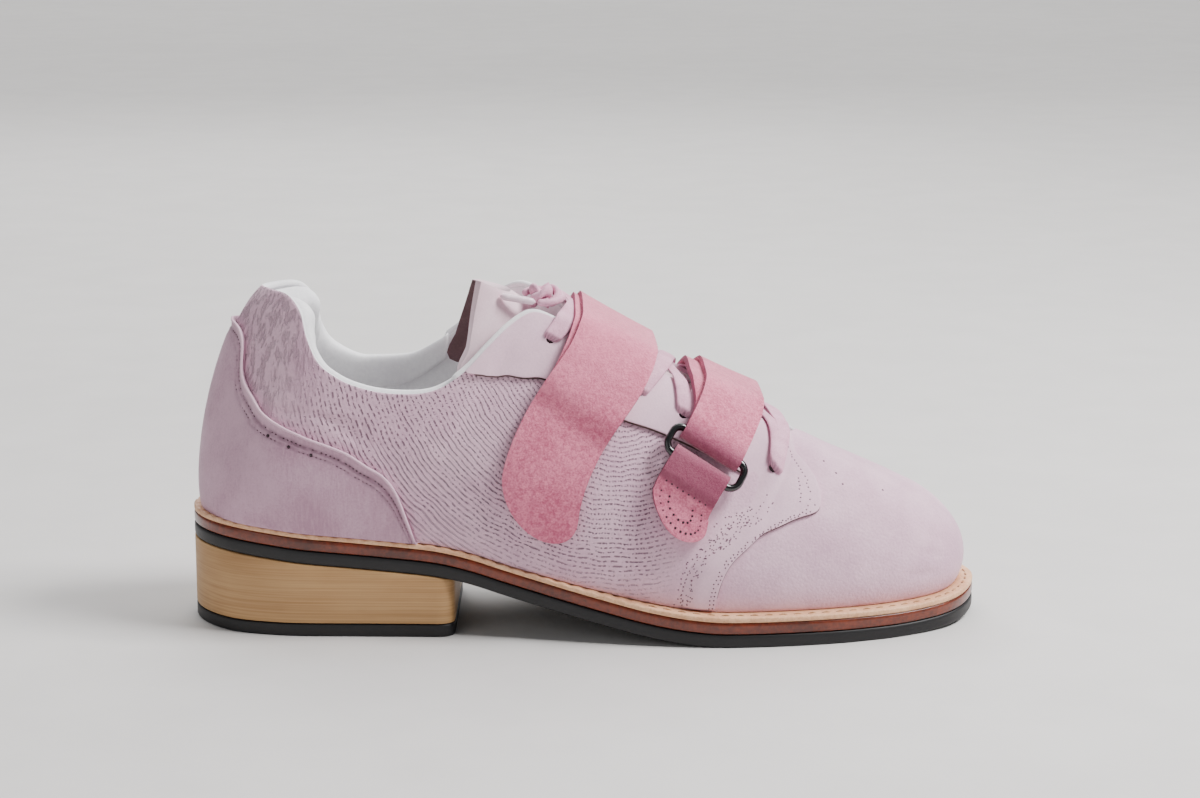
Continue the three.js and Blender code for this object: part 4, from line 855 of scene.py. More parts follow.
def heel_part(name, bottom, top, finish):
    """Prism of the heel's loop with soft edges: rings from the middle below to the middle above."""
    rings = []
    middle = heel_loop(0.0).mean(0)
    for face, way, order in ((bottom, 1, HEEL_RINGS), (top, -1, HEEL_RINGS[::-1])):
        for inset, share, away in order:
            flat = mix(middle, heel_loop(inset * HEEL_EDGE), share)
            z = face(flat[:, 0]) + way * away * HEEL_EDGE
            rings.append(np.concatenate([flat, z[:, None]], 1))
    return closed_piece(name, np.array(rings), finish)


# The welt's stitches: how long, how far in as a share of what shows, first and last place
STITCH = 5.2
STITCH_IN = 0.45
STITCHED = (-0.44, 0.4)
# The welt's section: inset from the outline, share of WELT up; a negative inset is its inner edge
WELT_SECTION = [(0.12, 0), (0, 0.2), (0, 0.7), (0.12, 0.93), (0.35, 1), (1.2, 1.02), (1.9, 0.98),
                (2.6, 1.02), (-1, 1), (-1, 0)]
SIDE_LENGTH = WALKED[-1] / 2


def welt_stitches():
    """Holes and threads along the welt where it shows in front of the joint."""
    places = np.arange(*STITCHED, STITCH / SIDE_LENGTH)
    thread_places = np.stack([places, places + 0.55 * STITCH / SIDE_LENGTH], 1)

    def spot(where, high):
        flat, _ = outline_at(where, STITCH_IN * upper_inset(where))
        return np.concatenate([flat, column(sole_bottom(flat[..., 0]) + WELT_TOP + high)], -1)

    up = np.zeros((len(places), 3)) + (0, 0, 1)
    holes = lenses("welt_holes", spot(places, 0.02), up, 0.45, HOLE)
    ends = spot(thread_places, 0)
    lines = [smooth_line(np.array([a, (a + b) / 2 + (0, 0, 0.3), b]), 7) for a, b in ends]
    grids = [tube(line, 0.7, 0.5, np.array([0, 0, 1.0]), 6) for line in lines]
    return holes, joined_grids("welt_threads", grids, [THREAD])


def welt_piece():
    """Welt: a flat band carried round the outline, its upper edge worn round and, behind the
    joint of the foot, pulled in by the stitches."""
    places = around_places(620)
    walked = abs(places) * SIDE_LENGTH
    pulled = smooth(abs(places), 0.38, 0.5) * abs(np.cos(math.pi * walked / STITCH)) ** 3
    reach = upper_inset(places) + WALL + INSOLE_IN - CLEAR
    ring = []
    for inset, high in WELT_SECTION:
        flat, _ = outline_at(places, reach if inset < 0 else np.minimum(inset, reach))
        sunk = 0.45 * pulled * (high > 0.5)
        z = sole_bottom(flat[:, 0]) + WELT_FROM + high * WELT - sunk
        ring.append(np.concatenate([flat, column(z)], 1))
    return closed_piece("welt_band", np.stack(ring, 1), WELT_LEATHER, around_rows=True)


dress(sole_layer("outsole_rubber", 0, OUTSOLE, RUBBER), "sole_rubber", "outsole")
dress(sole_layer("midsole_leather", MIDSOLE_FROM, MIDSOLE_TOP, SOLE_LEATHER),
      "sole_leather", "midsole")
dress(welt_piece(), "welt_leather", "welt")
for piece in welt_stitches():
    dress(piece, "welt_leather")
dress(heel_part("heel_block_wood", lambda x: 0 * x + TOP_PIECE + CLEAR,
                lambda x: sole_bottom(x) - CLEAR, WOOD), "heel_wood", "heel_block")
dress(heel_part("heel_top_rubber", lambda x: 0 * x, lambda x: 0 * x + TOP_PIECE, RUBBER),
      "sole_rubber", "heel_top_piece")
dress(sole_layer("insole_lining", MIDSOLE_TOP + CLEAR, WELT_TOP + INSOLE, LINING,
                 lambda place: upper_inset(place) + WALL + INSOLE_IN, 0.35),
      "insole_lining", "insole")


# Upper

# The hide's rings in the side view: their middle, and where a millimetre of way round is true
FLOW_CENTRE = (13.0, 114.0)
FLOW_RADIUS = 90.0


def flow_map(points):
    """Rings round the instep in the side view: way round and distance out, in metres."""
    x = points[..., 0] - FLOW_CENTRE[0]
    z = points[..., 2] - FLOW_CENTRE[1]
    angle = np.arctan2(x, -z)
    return np.stack([angle * FLOW_RADIUS, np.hypot(x, z)], -1) * 0.001


CREST_ROUND = 0.14


def rounded_skin(place, up):
    """The upper's face with the ridge of the toe rounded: a mean over a short way across."""
    size = abs(place)
    sign = np.where(place > 0, 1.0, -1.0)
    reach = (CREST_ROUND * (1 - smooth(1 - up, 0, 0.35))
             * (1 - smooth(size, THROAT - 0.08, THROAT - 0.01)))
    total = weights = 0
    for step in np.linspace(-1, 1, 9):
        weight = 1.05 - abs(step)
        spot = sign * (1 - up) + reach * step
        total = total + weight * skin(np.where(spot * sign < 0, -place, place), 1 - abs(spot))
        weights += weight
    return total / weights


# Creases of the leather in the side view, in millimetres: from x, z to x, z, how wide, how deep
CREASES = [
    (-91, 81, -85, 73, 1.1, 0.5), (-88, 81, -82.5, 71.5, 1.1, 0.55),
    (-85, 81, -80, 69.5, 1.1, 0.55), (-82.5, 80.5, -78.5, 68.5, 1.1, 0.5),
    (-79, 80, -74, 66, 1.2, 0.45),
    (-111, 80.5, -95, 81, 1.3, 0.5), (-96, 81, -87, 77, 1.2, 0.5),
    (-115, 92, -98, 93, 1.2, 0.5), (-117, 88.5, -100, 89.5, 1.3, 0.45),
    (117, 30, 129, 25, 1.5, 0.3), (113, 21, 127, 20, 1.5, 0.3), (121, 34, 131, 30, 1.3, 0.25),
]
# Ripples of the quarter, spread evenly between a first and a last one
FIRST_RIPPLE = np.array([-74, 77, -64, 48])
LAST_RIPPLE = np.array([-41, 58, -29, 38])
RIPPLES = 10
RIPPLE_WIDE = 1.2
RIPPLE_DEEP = 0.32
INNER_SHIFT = 6


def creased(points):
    """How far the leather sinks at a point, in millimetres: soft troughs along the creases."""
    x = points[..., 0] + np.where(points[..., 1] > 0, INNER_SHIFT, 0)
    z = points[..., 2]
    ripples = [(*mix(FIRST_RIPPLE, LAST_RIPPLE, t), RIPPLE_WIDE, RIPPLE_DEEP)
               for t in np.linspace(0, 1, RIPPLES)]
    lift = np.zeros(x.shape)
    for x1, z1, x2, z2, wide, deep in CREASES + ripples:
        long = math.hypot(x2 - x1, z2 - z1)
        along = ((x - x1) * (x2 - x1) + (z - z1) * (z2 - z1)) / long
        away = ((x - x1) * (z2 - z1) - (z - z1) * (x2 - x1)) / long
        fade = smooth(along, 0, 0.3 * long) * (1 - smooth(along, 0.7 * long, long))
        lift = lift - deep * fade * np.exp(-(away / wide) ** 2)
    return lift


def upper_piece():
    """Upper: an outer and an inner face over places and shares up, joined on the toe's crest,
    and closed by the cut edge of the topline and throat and by the foot."""
    half = np.concatenate([
        np.linspace(0, THROAT - 0.003, 60), np.linspace(THROAT + 0.003, 0.78, 100),
        np.linspace(0.785, 1, 60),
    ])
    places = np.concatenate([-half[::-1], half[1:-1]])
    ups = np.linspace(0, 1, 72)
    place, up = np.meshgrid(places, ups, indexing="ij")
    normal = skin_normal(place, up)
    crest = (up == 1) & (abs(place) < THROAT)
    normal[crest] = unit(normal + skin_normal(-place, up))[crest]
    middle = rounded_skin(place, up)
    outer = middle + normal * column(creased(middle))
    inner = middle - normal * WALL
    for face in (outer, inner):
        face[:, 0, 2] = skin(places, 0 * places)[:, 2]
    rows, columns = place.shape
    index = np.arange(rows * columns).reshape(rows, columns)
    mirror = {round(p, 9): i for i, p in enumerate(places)}
    for i, p in enumerate(places):
        if 0 < p < THROAT:
            index[i, -1] = index[mirror[round(-p, 9)], -1]
    over = index.ravel()[grid_faces(rows, columns, True, False)]
    under = over[:, ::-1] + rows * columns
    turn = np.roll(index, -1, 0)
    open_edge = (abs(places) > THROAT) | (abs(np.roll(places, -1)) > THROAT)
    rim = np.stack([index[:, -1], turn[:, -1], turn[:, -1] + rows * columns,
                    index[:, -1] + rows * columns], 1)[open_edge]
    foot = np.stack([turn[:, 0], index[:, 0], index[:, 0] + rows * columns,
                     turn[:, 0] + rows * columns], 1)
    faces = np.concatenate([over, under, rim, foot])
    inside = np.repeat([0, 1, 1, 0], [len(over), len(under), len(rim), len(foot)])
    size = abs(place)
    # Where the finish puts pits and lines, with their painted shade and the painted highlight
    # between them, and the heel tab's folds with painted shade
    fields = {
        "pits": (smooth(size, 0.4, 0.47) * (1 - smooth(size, 0.86, 0.95))
                 * (0.4 + 0.6 * smooth(up, 0.02, 0.12))),
        "lines": (smooth(size, 0.58, 0.68) * (1 - smooth(size, 0.84, 0.92))
                  * (1 - smooth(up, 0.45, 0.72))),
        "tab": smooth(size, 0.88, 0.94),
    }
    points = np.stack([outer, inner])
    return put("upper_shell", points, faces, [NUBUCK, LINING], uv=flow_map(points),
               fields=fields, face_finish=inside)


dress(upper_piece(), "upper_leather", "upper")

# Facing: place and share up of its throat edge and of its lower edge, as in the part
FACING = table("at fromA upA fromB upB", [(i,) + row for i, row in enumerate([
    (0.727, 1, 0.7255, 0.99), (0.712, 1, 0.7055, 0.855), (0.694, 1, 0.6875, 0.75),
    (0.678, 1, 0.669, 0.682), (0.664, 1, 0.647, 0.662), (0.645, 1, 0.622, 0.692),
    (0.6, 1, 0.575, 0.67), (0.545, 1, 0.523, 0.65), (0.49, 1, 0.49, 0.66),
    (0.44, 1, 0.45, 0.655), (0.395, 1, 0.41, 0.63), (0.365, 1, 0.38, 0.6),
    (0.352, 0.97, 0.366, 0.575), (0.341, 0.79, 0.362, 0.52), (0.308, 0.7, 0.364, 0.47),
    (0.289, 0.63, 0.372, 0.43), (0.2765, 0.535, 0.383, 0.395), (0.2765, 0.49, 0.388, 0.355),
    (0.298, 0.443, 0.39, 0.32), (0.317, 0.383, 0.394, 0.26), (0.3374, 0.332, 0.4, 0.21),
    (0.3467, 0.276, 0.408, 0.17), (0.358, 0.22, 0.4105, 0.12), (0.3655, 0.12, 0.4122, 0.07),
    (0.369, 0, 0.414, 0),
])])
# Counter: share up the rib of its top edge
COUNTER = table("at up", [
    (0.692, 0), (0.7, 0.06), (0.7231, 0.223), (0.7493, 0.354), (0.7863, 0.469),
    (0.8184, 0.553), (0.8531, 0.596), (0.9, 0.615), (0.931, 0.597), (0.947, 0.594),
    (0.962, 0.621), (0.977, 0.733), (1, 0.775),
])


# First row of the facing's front part, its last row, and how far the facing's face lies out
WING = 12
LAST_ROW = len(FACING["at"]) - 1
FACING_LIFT = CLEAR + LEATHER


def facing_spot(row, across):
    """Place and share up on the facing: its edges are smoothed a little over the rows, and
    its front part, from the row WING on, is softened most."""
    reach = mix(0.35, 0.5, smooth(row, WING, WING + 1))
    place = up = weights = 0
    for step in np.linspace(-1.5, 1.5, 7):
        weight = math.exp(-step * step)
        near = row + step * reach
        from_a, up_a, from_b, up_b = (
            read(FACING, name, near) for name in ("fromA", "upA", "fromB", "upB"))
        place = place + weight * mix(from_a, from_b, across)
        up = up + weight * mix(up_a, up_b, across)
        weights += weight
    return place / weights, np.minimum(up / weights, 1)


def facing_lift(row, across):
    """How far the facing's face lies off the upper: it thins out, to a little under the
    upper's face, towards the rear edge of its front part."""
    thinned = smooth(row, WING - 1.6, WING - 0.6) * smooth(across, 0.45, 1)
    return FACING_LIFT - (FACING_LIFT + 0.1) * thinned


def facing_piece(name, side):
    """Facing: a sheet between its two edges over the upper, thinned to nothing along the
    rear edge of its front part."""
    rows = np.linspace(0, LAST_ROW, 260)[:, None]
    across = np.linspace(0, 1, 30)[None, :]
    place, up = facing_spot(rows, across)
    points = off_skin(side * place, up, facing_lift(rows, across))
    piece = grid_piece(name, points, [SMOOTH_NUBUCK], flip=side < 0, sheet=True)
    return give_thickness(piece, LEATHER + CLEAR, bevel=0.3)


# The counter's ridge and two stitched grooves: how far below its edge, how wide, how high
RIDGE = (0.8, 0.8, 0.5)
FIRST_GROOVE = (3.4, 0.8, -0.5)
SECOND_GROOVE = (5.6, 0.6, -0.35)
PIPING_OUT = 0.45


def heel_places(first, bend, front, back):
    """Places from the outer side's front end round the heel to the inner one: so many from
    first to bend on each side and so many behind, where they lie closer together."""
    half = np.concatenate([np.linspace(first, bend, front), np.linspace(bend + 0.003, 1, back)])
    return np.concatenate([-half, half[::-1][1:]])


def counter_piping():
    """Piping: a thin round cord on the counter's edge, thinning out at its ends."""
    places = heel_places(0.6935, 0.8, 70, 70)
    top = read(COUNTER, "up", abs(places))
    up = np.maximum(top - 0.006, 0)
    line = off_skin(places, up, FACING_LIFT + PIPING_OUT)
    thick = 0.5 + 0.5 * smooth(top, 0, 0.1)
    level = skin_normal(places, up)
    return tube_piece("counter_piping", line, thick, thick, level, SMOOTH_NUBUCK, 10)


def counter_piece():
    """Counter: from the foot to its edge, where a piped ridge runs over two stitched grooves,
    each a bell over the distance below the edge."""
    places = heel_places(0.6925, 0.8, 70, 70)
    share = 1 - (1 - np.linspace(0, 1, 46)) ** 1.6
    place, across = np.meshgrid(places, share, indexing="ij")
    top = read(COUNTER, "up", abs(place))
    up = top * across
    tall = np.linalg.norm(skin(places, top[:, -1]) - skin(places, 0 * places), axis=1)[:, None]
    below = tall * (1 - across)
    forms = (RIDGE, FIRST_GROOVE, SECOND_GROOVE)
    bells = [np.exp(-((below - centre) / wide) ** 2) for centre, wide, _ in forms]
    lift = sum(high * bell for (_, _, high), bell in zip(forms, bells))
    points = off_skin(place, up, FACING_LIFT + lift)
    # The grooves' bells also go to the finish, for the painted shade in them
    piece = grid_piece("counter_leather", points, [COUNTER_NUBUCK], flip=True, sheet=True,
                       fields={"groove": bells[1] + 0.7 * bells[2]})
    return give_thickness(piece, LEATHER + CLEAR, bevel=0.3)


dress(facing_piece("facing_outer_leather", -1), "facing_leather", "facing_outer")
dress(facing_piece("facing_inner_leather", 1), "facing_leather", "facing_inner")
dress(counter_piece(), "counter_leather", "counter")
dress(counter_piping(), "counter_leather")


def dots(name, slot, place, up, lift, radius, finish):
    """Dots on the upper or on what lies on it."""
    place, up = np.ravel(place), np.ravel(up)
    spots = off_skin(place, up, lift)
    dress(lenses(name, spots, skin_normal(place, up), radius, finish), slot)


def evenly(place, up, gap):
    """Places and shares up at even distances along a line on the upper."""
    walked = walk(skin(place, up))
    at = np.arange(0, walked[-1], gap)
    return np.interp(at, walked, place), np.interp(at, walked, up)


PINHOLE_GAP = 1.5
# Rows of pinholes on the facing's front part: from row, to row, share across
LAST_HOLE_ROW = 24
PINHOLE_ROWS = [
    (WING + 4.3, LAST_HOLE_ROW, 0.07), (WING + 4.3, LAST_HOLE_ROW, 0.15),
    (WING + 2.4, LAST_HOLE_ROW, 0.7), (WING + 2.4, LAST_HOLE_ROW, 0.84),
    (WING + 0.8, WING + 4.1, 0.13), (WING + 2.5, WING + 4.1, 0.24),
]
SPECKLES = 150
DOT_OUT = 0.02
SIDES = ((-1, "outer"), (1, "inner"))


def pinholes():
    """Pinholes of the seams: rows along the edges of the facing's front part with speckles
    between them, dotted grooves under the counter's piping, and a few marks."""
    rng = np.random.default_rng(5)
    place, up, lift = [], [], []
    for first, last, across in PINHOLE_ROWS:
        rows = np.linspace(first, last, 200)
        spots = facing_spot(rows, across)
        at, high = evenly(*spots, PINHOLE_GAP)
        place.append(at + rng.normal(0, 0.0008, len(at)))
        up.append(high)
        lift.append(facing_lift(np.interp(at, spots[0], rows), across))
    rows, across = rng.uniform(WING + 3.5, LAST_HOLE_ROW, SPECKLES), rng.uniform(0.55, 1, SPECKLES)
    at, high = facing_spot(rows, across)
    place = np.concatenate(place + [at])
    up = np.concatenate(up + [high])
    lift = np.maximum(np.concatenate(lift + [facing_lift(rows, across)]) + DOT_OUT, DOT_OUT)
    kept = rng.random(len(place)) < 0.85
    groove = np.linspace(0.7, 1, 300)
    top = read(COUNTER, "up", groove)
    tall = np.linalg.norm(skin(groove, top) - skin(groove, 0 * top), axis=1)
    grooves = (FIRST_GROOVE, SECOND_GROOVE)
    lines = [evenly(groove, np.maximum(top * (1 - below / tall), 0), PINHOLE_GAP)
             for below, _, _ in grooves]
    where, high = (np.concatenate([line[k] for line in lines]) for k in (0, 1))
    sunk = np.concatenate([
        np.full(len(line[0]), FACING_LIFT + deep + 2 * DOT_OUT)
        for line, (_, _, deep) in zip(lines, grooves)
    ])
    seen = (high > 0.03) & (rng.random(len(high)) < 0.8)
    for side, name in SIDES:
        dots(f"facing_pinholes_{name}", "facing_leather",
             side * place[kept], up[kept], lift[kept], 0.3, PINHOLE)
        dots(f"counter_pinholes_{name}", "counter_leather",
             side * where[seen], high[seen], sunk[seen], 0.38, HOLE)
        dots(f"counter_marks_{name}", "counter_leather",
             side * np.array([0.9051, 0.8778, 0.8501]), [0.537, 0.524, 0.506],
             FACING_LIFT + DOT_OUT, 0.65, HOLE)
    dots("toe_marks", "upper_leather",
         [-0.2493, -0.1777, -0.2844, -0.262], [0.674, 0.715, 0.78, 0.73], 0.0, 0.45, PINHOLE)


# Dark cut edges of the facing, with painted shadow under them: name, from row, to row, share
# across, lift, thickness
CUT_EDGES = [
    ("edge", 0.5, WING - 1, 1.0, 0.45, 1.0),
    ("front_edge", WING + 4.2, 23.6, 0.0, 0.3, 0.55),
]
# The lining at the throat: from place, to place, thickness
THROAT_LINING = (0.742, 0.6, 2.2)


def edge_cords():
    """Dark cut edges, with painted shadow under them, along the facing's lower seam and under the
    front of its wing, and the white lining along the throat."""
    for side, name in SIDES:
        for part, first, last, across, lift, thick in CUT_EDGES:
            place, up = facing_spot(np.linspace(first, last, 90), across)
            line = off_skin(side * place, up, lift)
            level = skin_normal(side * place, up)
            dress(tube_piece(f"facing_{part}_{name}", line, thick, thick, level, CUT_EDGE_WITH_SHADOW, 8),
                  "facing_leather")
        rear, front, full = THROAT_LINING
        places = side * np.linspace(rear, front, 60)
        _, _, high, top = rib(places)
        thick = full - (full - 0.3) * smooth(abs(places), rear - 0.006, rear)
        level = skin_normal(places, 0 * places + 1)
        line = top + unit(top - high) * 0.7 - level * 0.9
        dress(tube_piece(f"throat_lining_{name}", line, thick, thick, level, LINING, 12),
              "upper_leather")


pinholes()
edge_cords()

# Collar: share of PAD, share up the rib of its lower edge
COLLAR = table("at thick low", [
    (0.735, 0.22, 0.84), (0.765, 0.28, 0.8), (0.81, 0.34, 0.78), (0.86, 0.42, 0.77),
    (0.9, 0.6, 0.76), (0.93, 0.82, 0.76), (0.96, 0.96, 0.76), (1, 1, 0.76),
])
COLLAR_RISE = 1.6


def collar_piece():
    """Collar roll: a squarish oval carried round the topline inside the wall."""
    places = heel_places(0.736, 0.9, 50, 60)
    size = abs(places)
    foot, _, _, top = rib(places)
    high = 1 + COLLAR_RISE / np.linalg.norm(top - foot, axis=1)
    low = read(COLLAR, "low", size)
    thick = PAD * read(COLLAR, "thick", size)
    turn = np.linspace(0, 2 * math.pi, 28, endpoint=False)
    square = lambda value: np.sign(value) * abs(value) ** 0.65
    up = mix(low[:, None], high[:, None], 0.5 + 0.5 * square(np.sin(turn))[None])
    deep = WALL + 0.1 + thick[:, None] * (0.5 - 0.5 * square(np.cos(turn))[None])
    place = np.broadcast_to(places[:, None], up.shape)
    points = skin(place, up) - skin_normal(place, np.minimum(up, 1)) * column(deep)
    ends = points[[0, -1]].mean(1, keepdims=True) + 0 * points[[0, -1]]
    grid = np.concatenate([ends[:1], points, ends[1:]])
    return closed_piece("collar_lining", grid, LINING)


dress(collar_piece(), "collar_lining", "collar_pad")

# Tongue: rows under the throat by place, then rows of its own: crest, outer and inner edge
TONGUE_UNDER = [0.3, 0.325, 0.36, 0.4, 0.45, 0.5, 0.55, 0.595]
TONGUE_TOP = [
    ((0.466, 0.01, 0.868), (0.352, -0.24, 0.742), (0.334, 0.2, 0.742)),
    ((0.443, 0.005, 0.915), (0.358, -0.228, 0.84), (0.337, 0.19, 0.82)),
    ((0.421, 0, 0.953), (0.365, -0.215, 0.94), (0.349, 0.18, 0.9)),
    ((0.407, -0.01, 0.975), (0.373, -0.203, 1.028), (0.362, 0.165, 0.985)),
]
TONGUE_REACH = 0.4
TONGUE_SINK = 2.2
TONGUE_SPAN = 0.15


def tongue_piece():
    """Tongue: rows of the instep below the leather, then free rows bowed over the foot."""
    side = np.linspace(-1, 1, 31)
    spread = side * TONGUE_REACH
    rows = []
    for back in TONGUE_UNDER:
        across = instep(back, spread + TONGUE_SPAN) - instep(back, spread - TONGUE_SPAN)
        normal = unit(np.cross(across, instep(back + SMALL, spread) - instep(back - SMALL, spread)))
        deep = WALL + CLEAR + 0.1 + TONGUE_SINK * (1 - smooth(back, 0.3, 0.36))
        rows.append(instep(back, spread) - normal * deep)
    bow = side**2
    for crest, outer, inner in np.array(TONGUE_TOP):
        edge = np.where(side[:, None] < 0, outer, inner)
        shares = np.stack([bow, abs(side), bow], 1)
        spot = mix(crest, edge, shares)
        rows.append((spot - (0.5, 0, 0)) * (LENGTH, WIDTH, HEIGHT))
    rows = np.array(rows)
    fine = np.stack([smooth_line(rows[:, j], 70) for j in range(len(side))], 1)
    piece = grid_piece("tongue_leather", fine, [TONGUE_LEATHER, TONGUE_BACK_PAINTED_SHADE], flip=True, sheet=True)
    return give_thickness(piece, TONGUE, inside=1, bevel=0.4)


dress(tongue_piece(), "tongue_leather", "tongue")


# Straps, rings and tabs

SKEW = 0.011
WALK = 5


def track(rows):
    """Line over the instep: its length at a side, and points beside and above it."""
    sides = np.linspace(rows["at"][0], rows["at"][-1], 161)
    walked = walk(instep(read(rows, "from", sides), sides))
    zero = np.interp(0, sides, walked)

    def length_at(side):
        return np.interp(side, sides, walked) - zero

    def place(length, across, lift):
        length, across, lift = np.broadcast_arrays(length, across, lift)
        centre = np.interp(length + zero, walked, sides)
        side = centre * (1 - SKEW * across * np.maximum(0, 1 - abs(centre)))
        back = read(rows, "from", centre)
        for _ in range(WALK):
            step = instep(back + SMALL, side) - instep(back - SMALL, side)
            back = back + across / WALK * 2 * SMALL / np.linalg.norm(step, axis=-1)
        return instep(back, side) + instep_normal(back, side) * column(lift)

    return length_at, place


# Straps: which way one turns from its ring, its width, the side where its free end lies and
# that of its ring, the length of its tab, the place of its line on the instep by side, the
# lift of its free layer, and the lift and shift towards the toe of the layer sewn under it
UPPER_STRAP = {
    "name": "upper", "turn": 1, "width": UPPER_STRAP_WIDTH, "tip": -0.9, "ring_side": 0.47,
    "tab": 26,
    "rows": table("at from", [
        (-0.97, 0.557), (-0.89, 0.5625), (-0.78, 0.57), (-0.6, 0.573), (-0.3, 0.565), (0, 0.567),
        (0.6, 0.574), (0.95, 0.592),
    ]),
    "free": table("at lift", [
        (-0.95, 1.8), (-0.56, 1.8), (-0.46, 5.4), (-0.37, 5.9), (-0.31, 6.3), (-0.15, 6.3),
        (0.3, 6.4), (0.47, 8.85),
    ]),
    "sewn": table("at lift shift", [
        (-0.45, 3, 0), (-0.37, 3.5, 1), (-0.31, 4.05, 1.6), (0, 4.1, 2), (0.31, 4.2, 0.8),
        (0.38, 4.1, 0), (0.47, 3.55, 0),
    ]),
}
LOWER_STRAP = {
    "name": "lower", "turn": -1, "width": LOWER_STRAP_WIDTH, "tip": -0.86, "ring_side": 0.45,
    "tab": 24.5,
    "rows": table("at from", [
        (-0.95, 0.42), (-0.76, 0.421), (-0.66, 0.43), (-0.5, 0.4254), (-0.3, 0.424), (0, 0.428),
        (0.4, 0.43), (0.95, 0.44),
    ]),
    "free": table("at lift", [
        (-0.95, 1.8), (-0.6, 1.8), (-0.5, 5.8), (-0.42, 6.6), (-0.36, 7.4), (-0.15, 7.5),
        (0.3, 7.5), (0.45, 8.85),
    ]),
    "sewn": table("at lift shift", [
        (-0.49, 3.1, 0), (-0.43, 4, 1), (-0.37, 4.95, 3), (0, 4.95, 5), (0.2, 4.95, 4),
        (0.37, 4.85, 0), (0.45, 3.55, 0),
    ]),
}


def fold_arc(bar, radius, turn):
    """Half a turn of a band round the bar of a ring."""
    angle = np.radians(np.linspace(80, -80, 13))
    out, up = radius * np.cos(angle), radius * np.sin(angle)
    return np.stack([bar + turn * out, RING_LIFT + up, 0 * angle], 1)


BAND_STEP = 0.8
# Where a band stands clear of the leather: its lift at the start and in full, and its tilt
STANDS_CLEAR = (3.5, 6.5)
STRAP_TILT = 0.03


def tilted(lift, across):
    """Lift of a point of a band, whose heel edge hangs lower where it stands clear."""
    return lift - STRAP_TILT * across * smooth(lift, *STANDS_CLEAR)


def band(name, place, path, width, thick, fold, round_start, round_end):
    """Band along a path of lengths, lifts and shifts: its middle sheet, given a thickness.
    Where it stands clear of the leather its heel edge hangs lower, and it waves a little.
    It is darker round its fold, which is given as a row of the path and two reaches: painted shade
    there, and its rims are a darker suede that paints the shade of its cut edges."""
    walked = walk(path[:, :2])
    total = walked[-1]
    rows = np.clip(np.arange(0, total + BAND_STEP / 2, BAND_STEP), 0, total)[:, None]
    side = np.sin(np.linspace(-math.pi / 2, math.pi / 2, 25))[None, :]
    back = width / 2 * (1 - np.sqrt(1 - side**2))
    near = np.clip(1 - rows / width, 0, 1) * round_start
    far = np.clip(1 - (total - rows) / width, 0, 1) * round_end
    distance = np.clip(rows + back * near - back * far, 0, total)
    length, lift, shift = (np.interp(distance, walked, path[:, k]) for k in range(3))
    wave = 0.25 * np.sin(length * 0.19 + 0.6) * side**2 * (1 - 0.5 * smooth(lift, *STANDS_CLEAR))
    across = side * width / 2 + shift
    points = place(length, across, tilted(lift, across) + wave)
    row, near_fold, past_fold = fold
    # Share of painted shade round the fold
    folded = 1 - smooth(abs(distance - walked[row]), near_fold, past_fold)
    piece = grid_piece(name, points, [SUEDE, SUEDE_EDGE_PAINTED_SHADE], sheet=True, fields={"fold": folded})
    # The rims take the darker suede: painted shade on the cut edges
    return give_thickness(piece, thick, offset=0.0, rim=1, bevel=0.35)


def laid(spec):
    """A strap's line over the instep: its length at a side, points beside and above it, which
    way it turns, and the length at which the tab's bar of its ring lies."""
    length_at, place = track(spec["rows"])
    turn = spec["turn"]
    return length_at, place, turn, length_at(turn * spec["ring_side"]) + turn * RING_GAP


FIBRES = 420
FIBRE_LONG = 1.1
FIBRE_SIZE = 0.07


def strap_fuzz(spec):
    """Loose fibres along both edges of the strap's free layer."""
    rng = np.random.default_rng(11)
    length_at, place, turn, _ = laid(spec)
    side = rng.uniform(spec["tip"] + 0.14, 0.36, FIBRES)
    edge = np.where(rng.random(FIBRES) < 0.5, -1.0, 1.0)
    lift = read(spec["free"], "lift", side)
    across = edge * (spec["width"] / 2 - 0.25)
    lift = tilted(lift, across) + rng.uniform(-0.8, 0.9, FIBRES)
    length = length_at(turn * side)
    roots = place(length, across, lift)
    out = unit(place(length, across + edge, lift) - roots)
    over = unit(place(length, across, lift + 1) - roots)
    along = np.cross(out, over)
    ways = unit(out * column(rng.uniform(0.4, 1, FIBRES))
                + over * column(rng.normal(0.2, 0.4, FIBRES))
                + along * column(rng.normal(0, 0.7, FIBRES)))
    ways = ways * column(FIBRE_LONG * rng.uniform(0.35, 1, FIBRES))
    return spikes(f"{spec['name']}_strap_fibres", roots, ways, FIBRE_SIZE, SUEDE)


TAB_RADIUS = RING_WIRE / 2 + CLEAR + TAB / 2
TAB_UNDER = CLEAR + TAB_REST + TAB / 2


def tab_width(spec):
    """Width of a strap's tab, which passes through its ring."""
    return spec["width"] - 4 * CLEAR


def tab_over(share):
    """Lift of the tab's upper layer, by its share of the tab's length from the ring's bar."""
    return mix(RING_LIFT + TAB_RADIUS, TAB_UNDER + TAB + CLEAR, smooth(share, 0.1, 0.55))


# Stitch holes of a tab: how far its two arcs lie in from its end, and where its row lies
ARCS_IN = (2.6, 6)
ROW_IN = 3
ROW_AT = 0.36


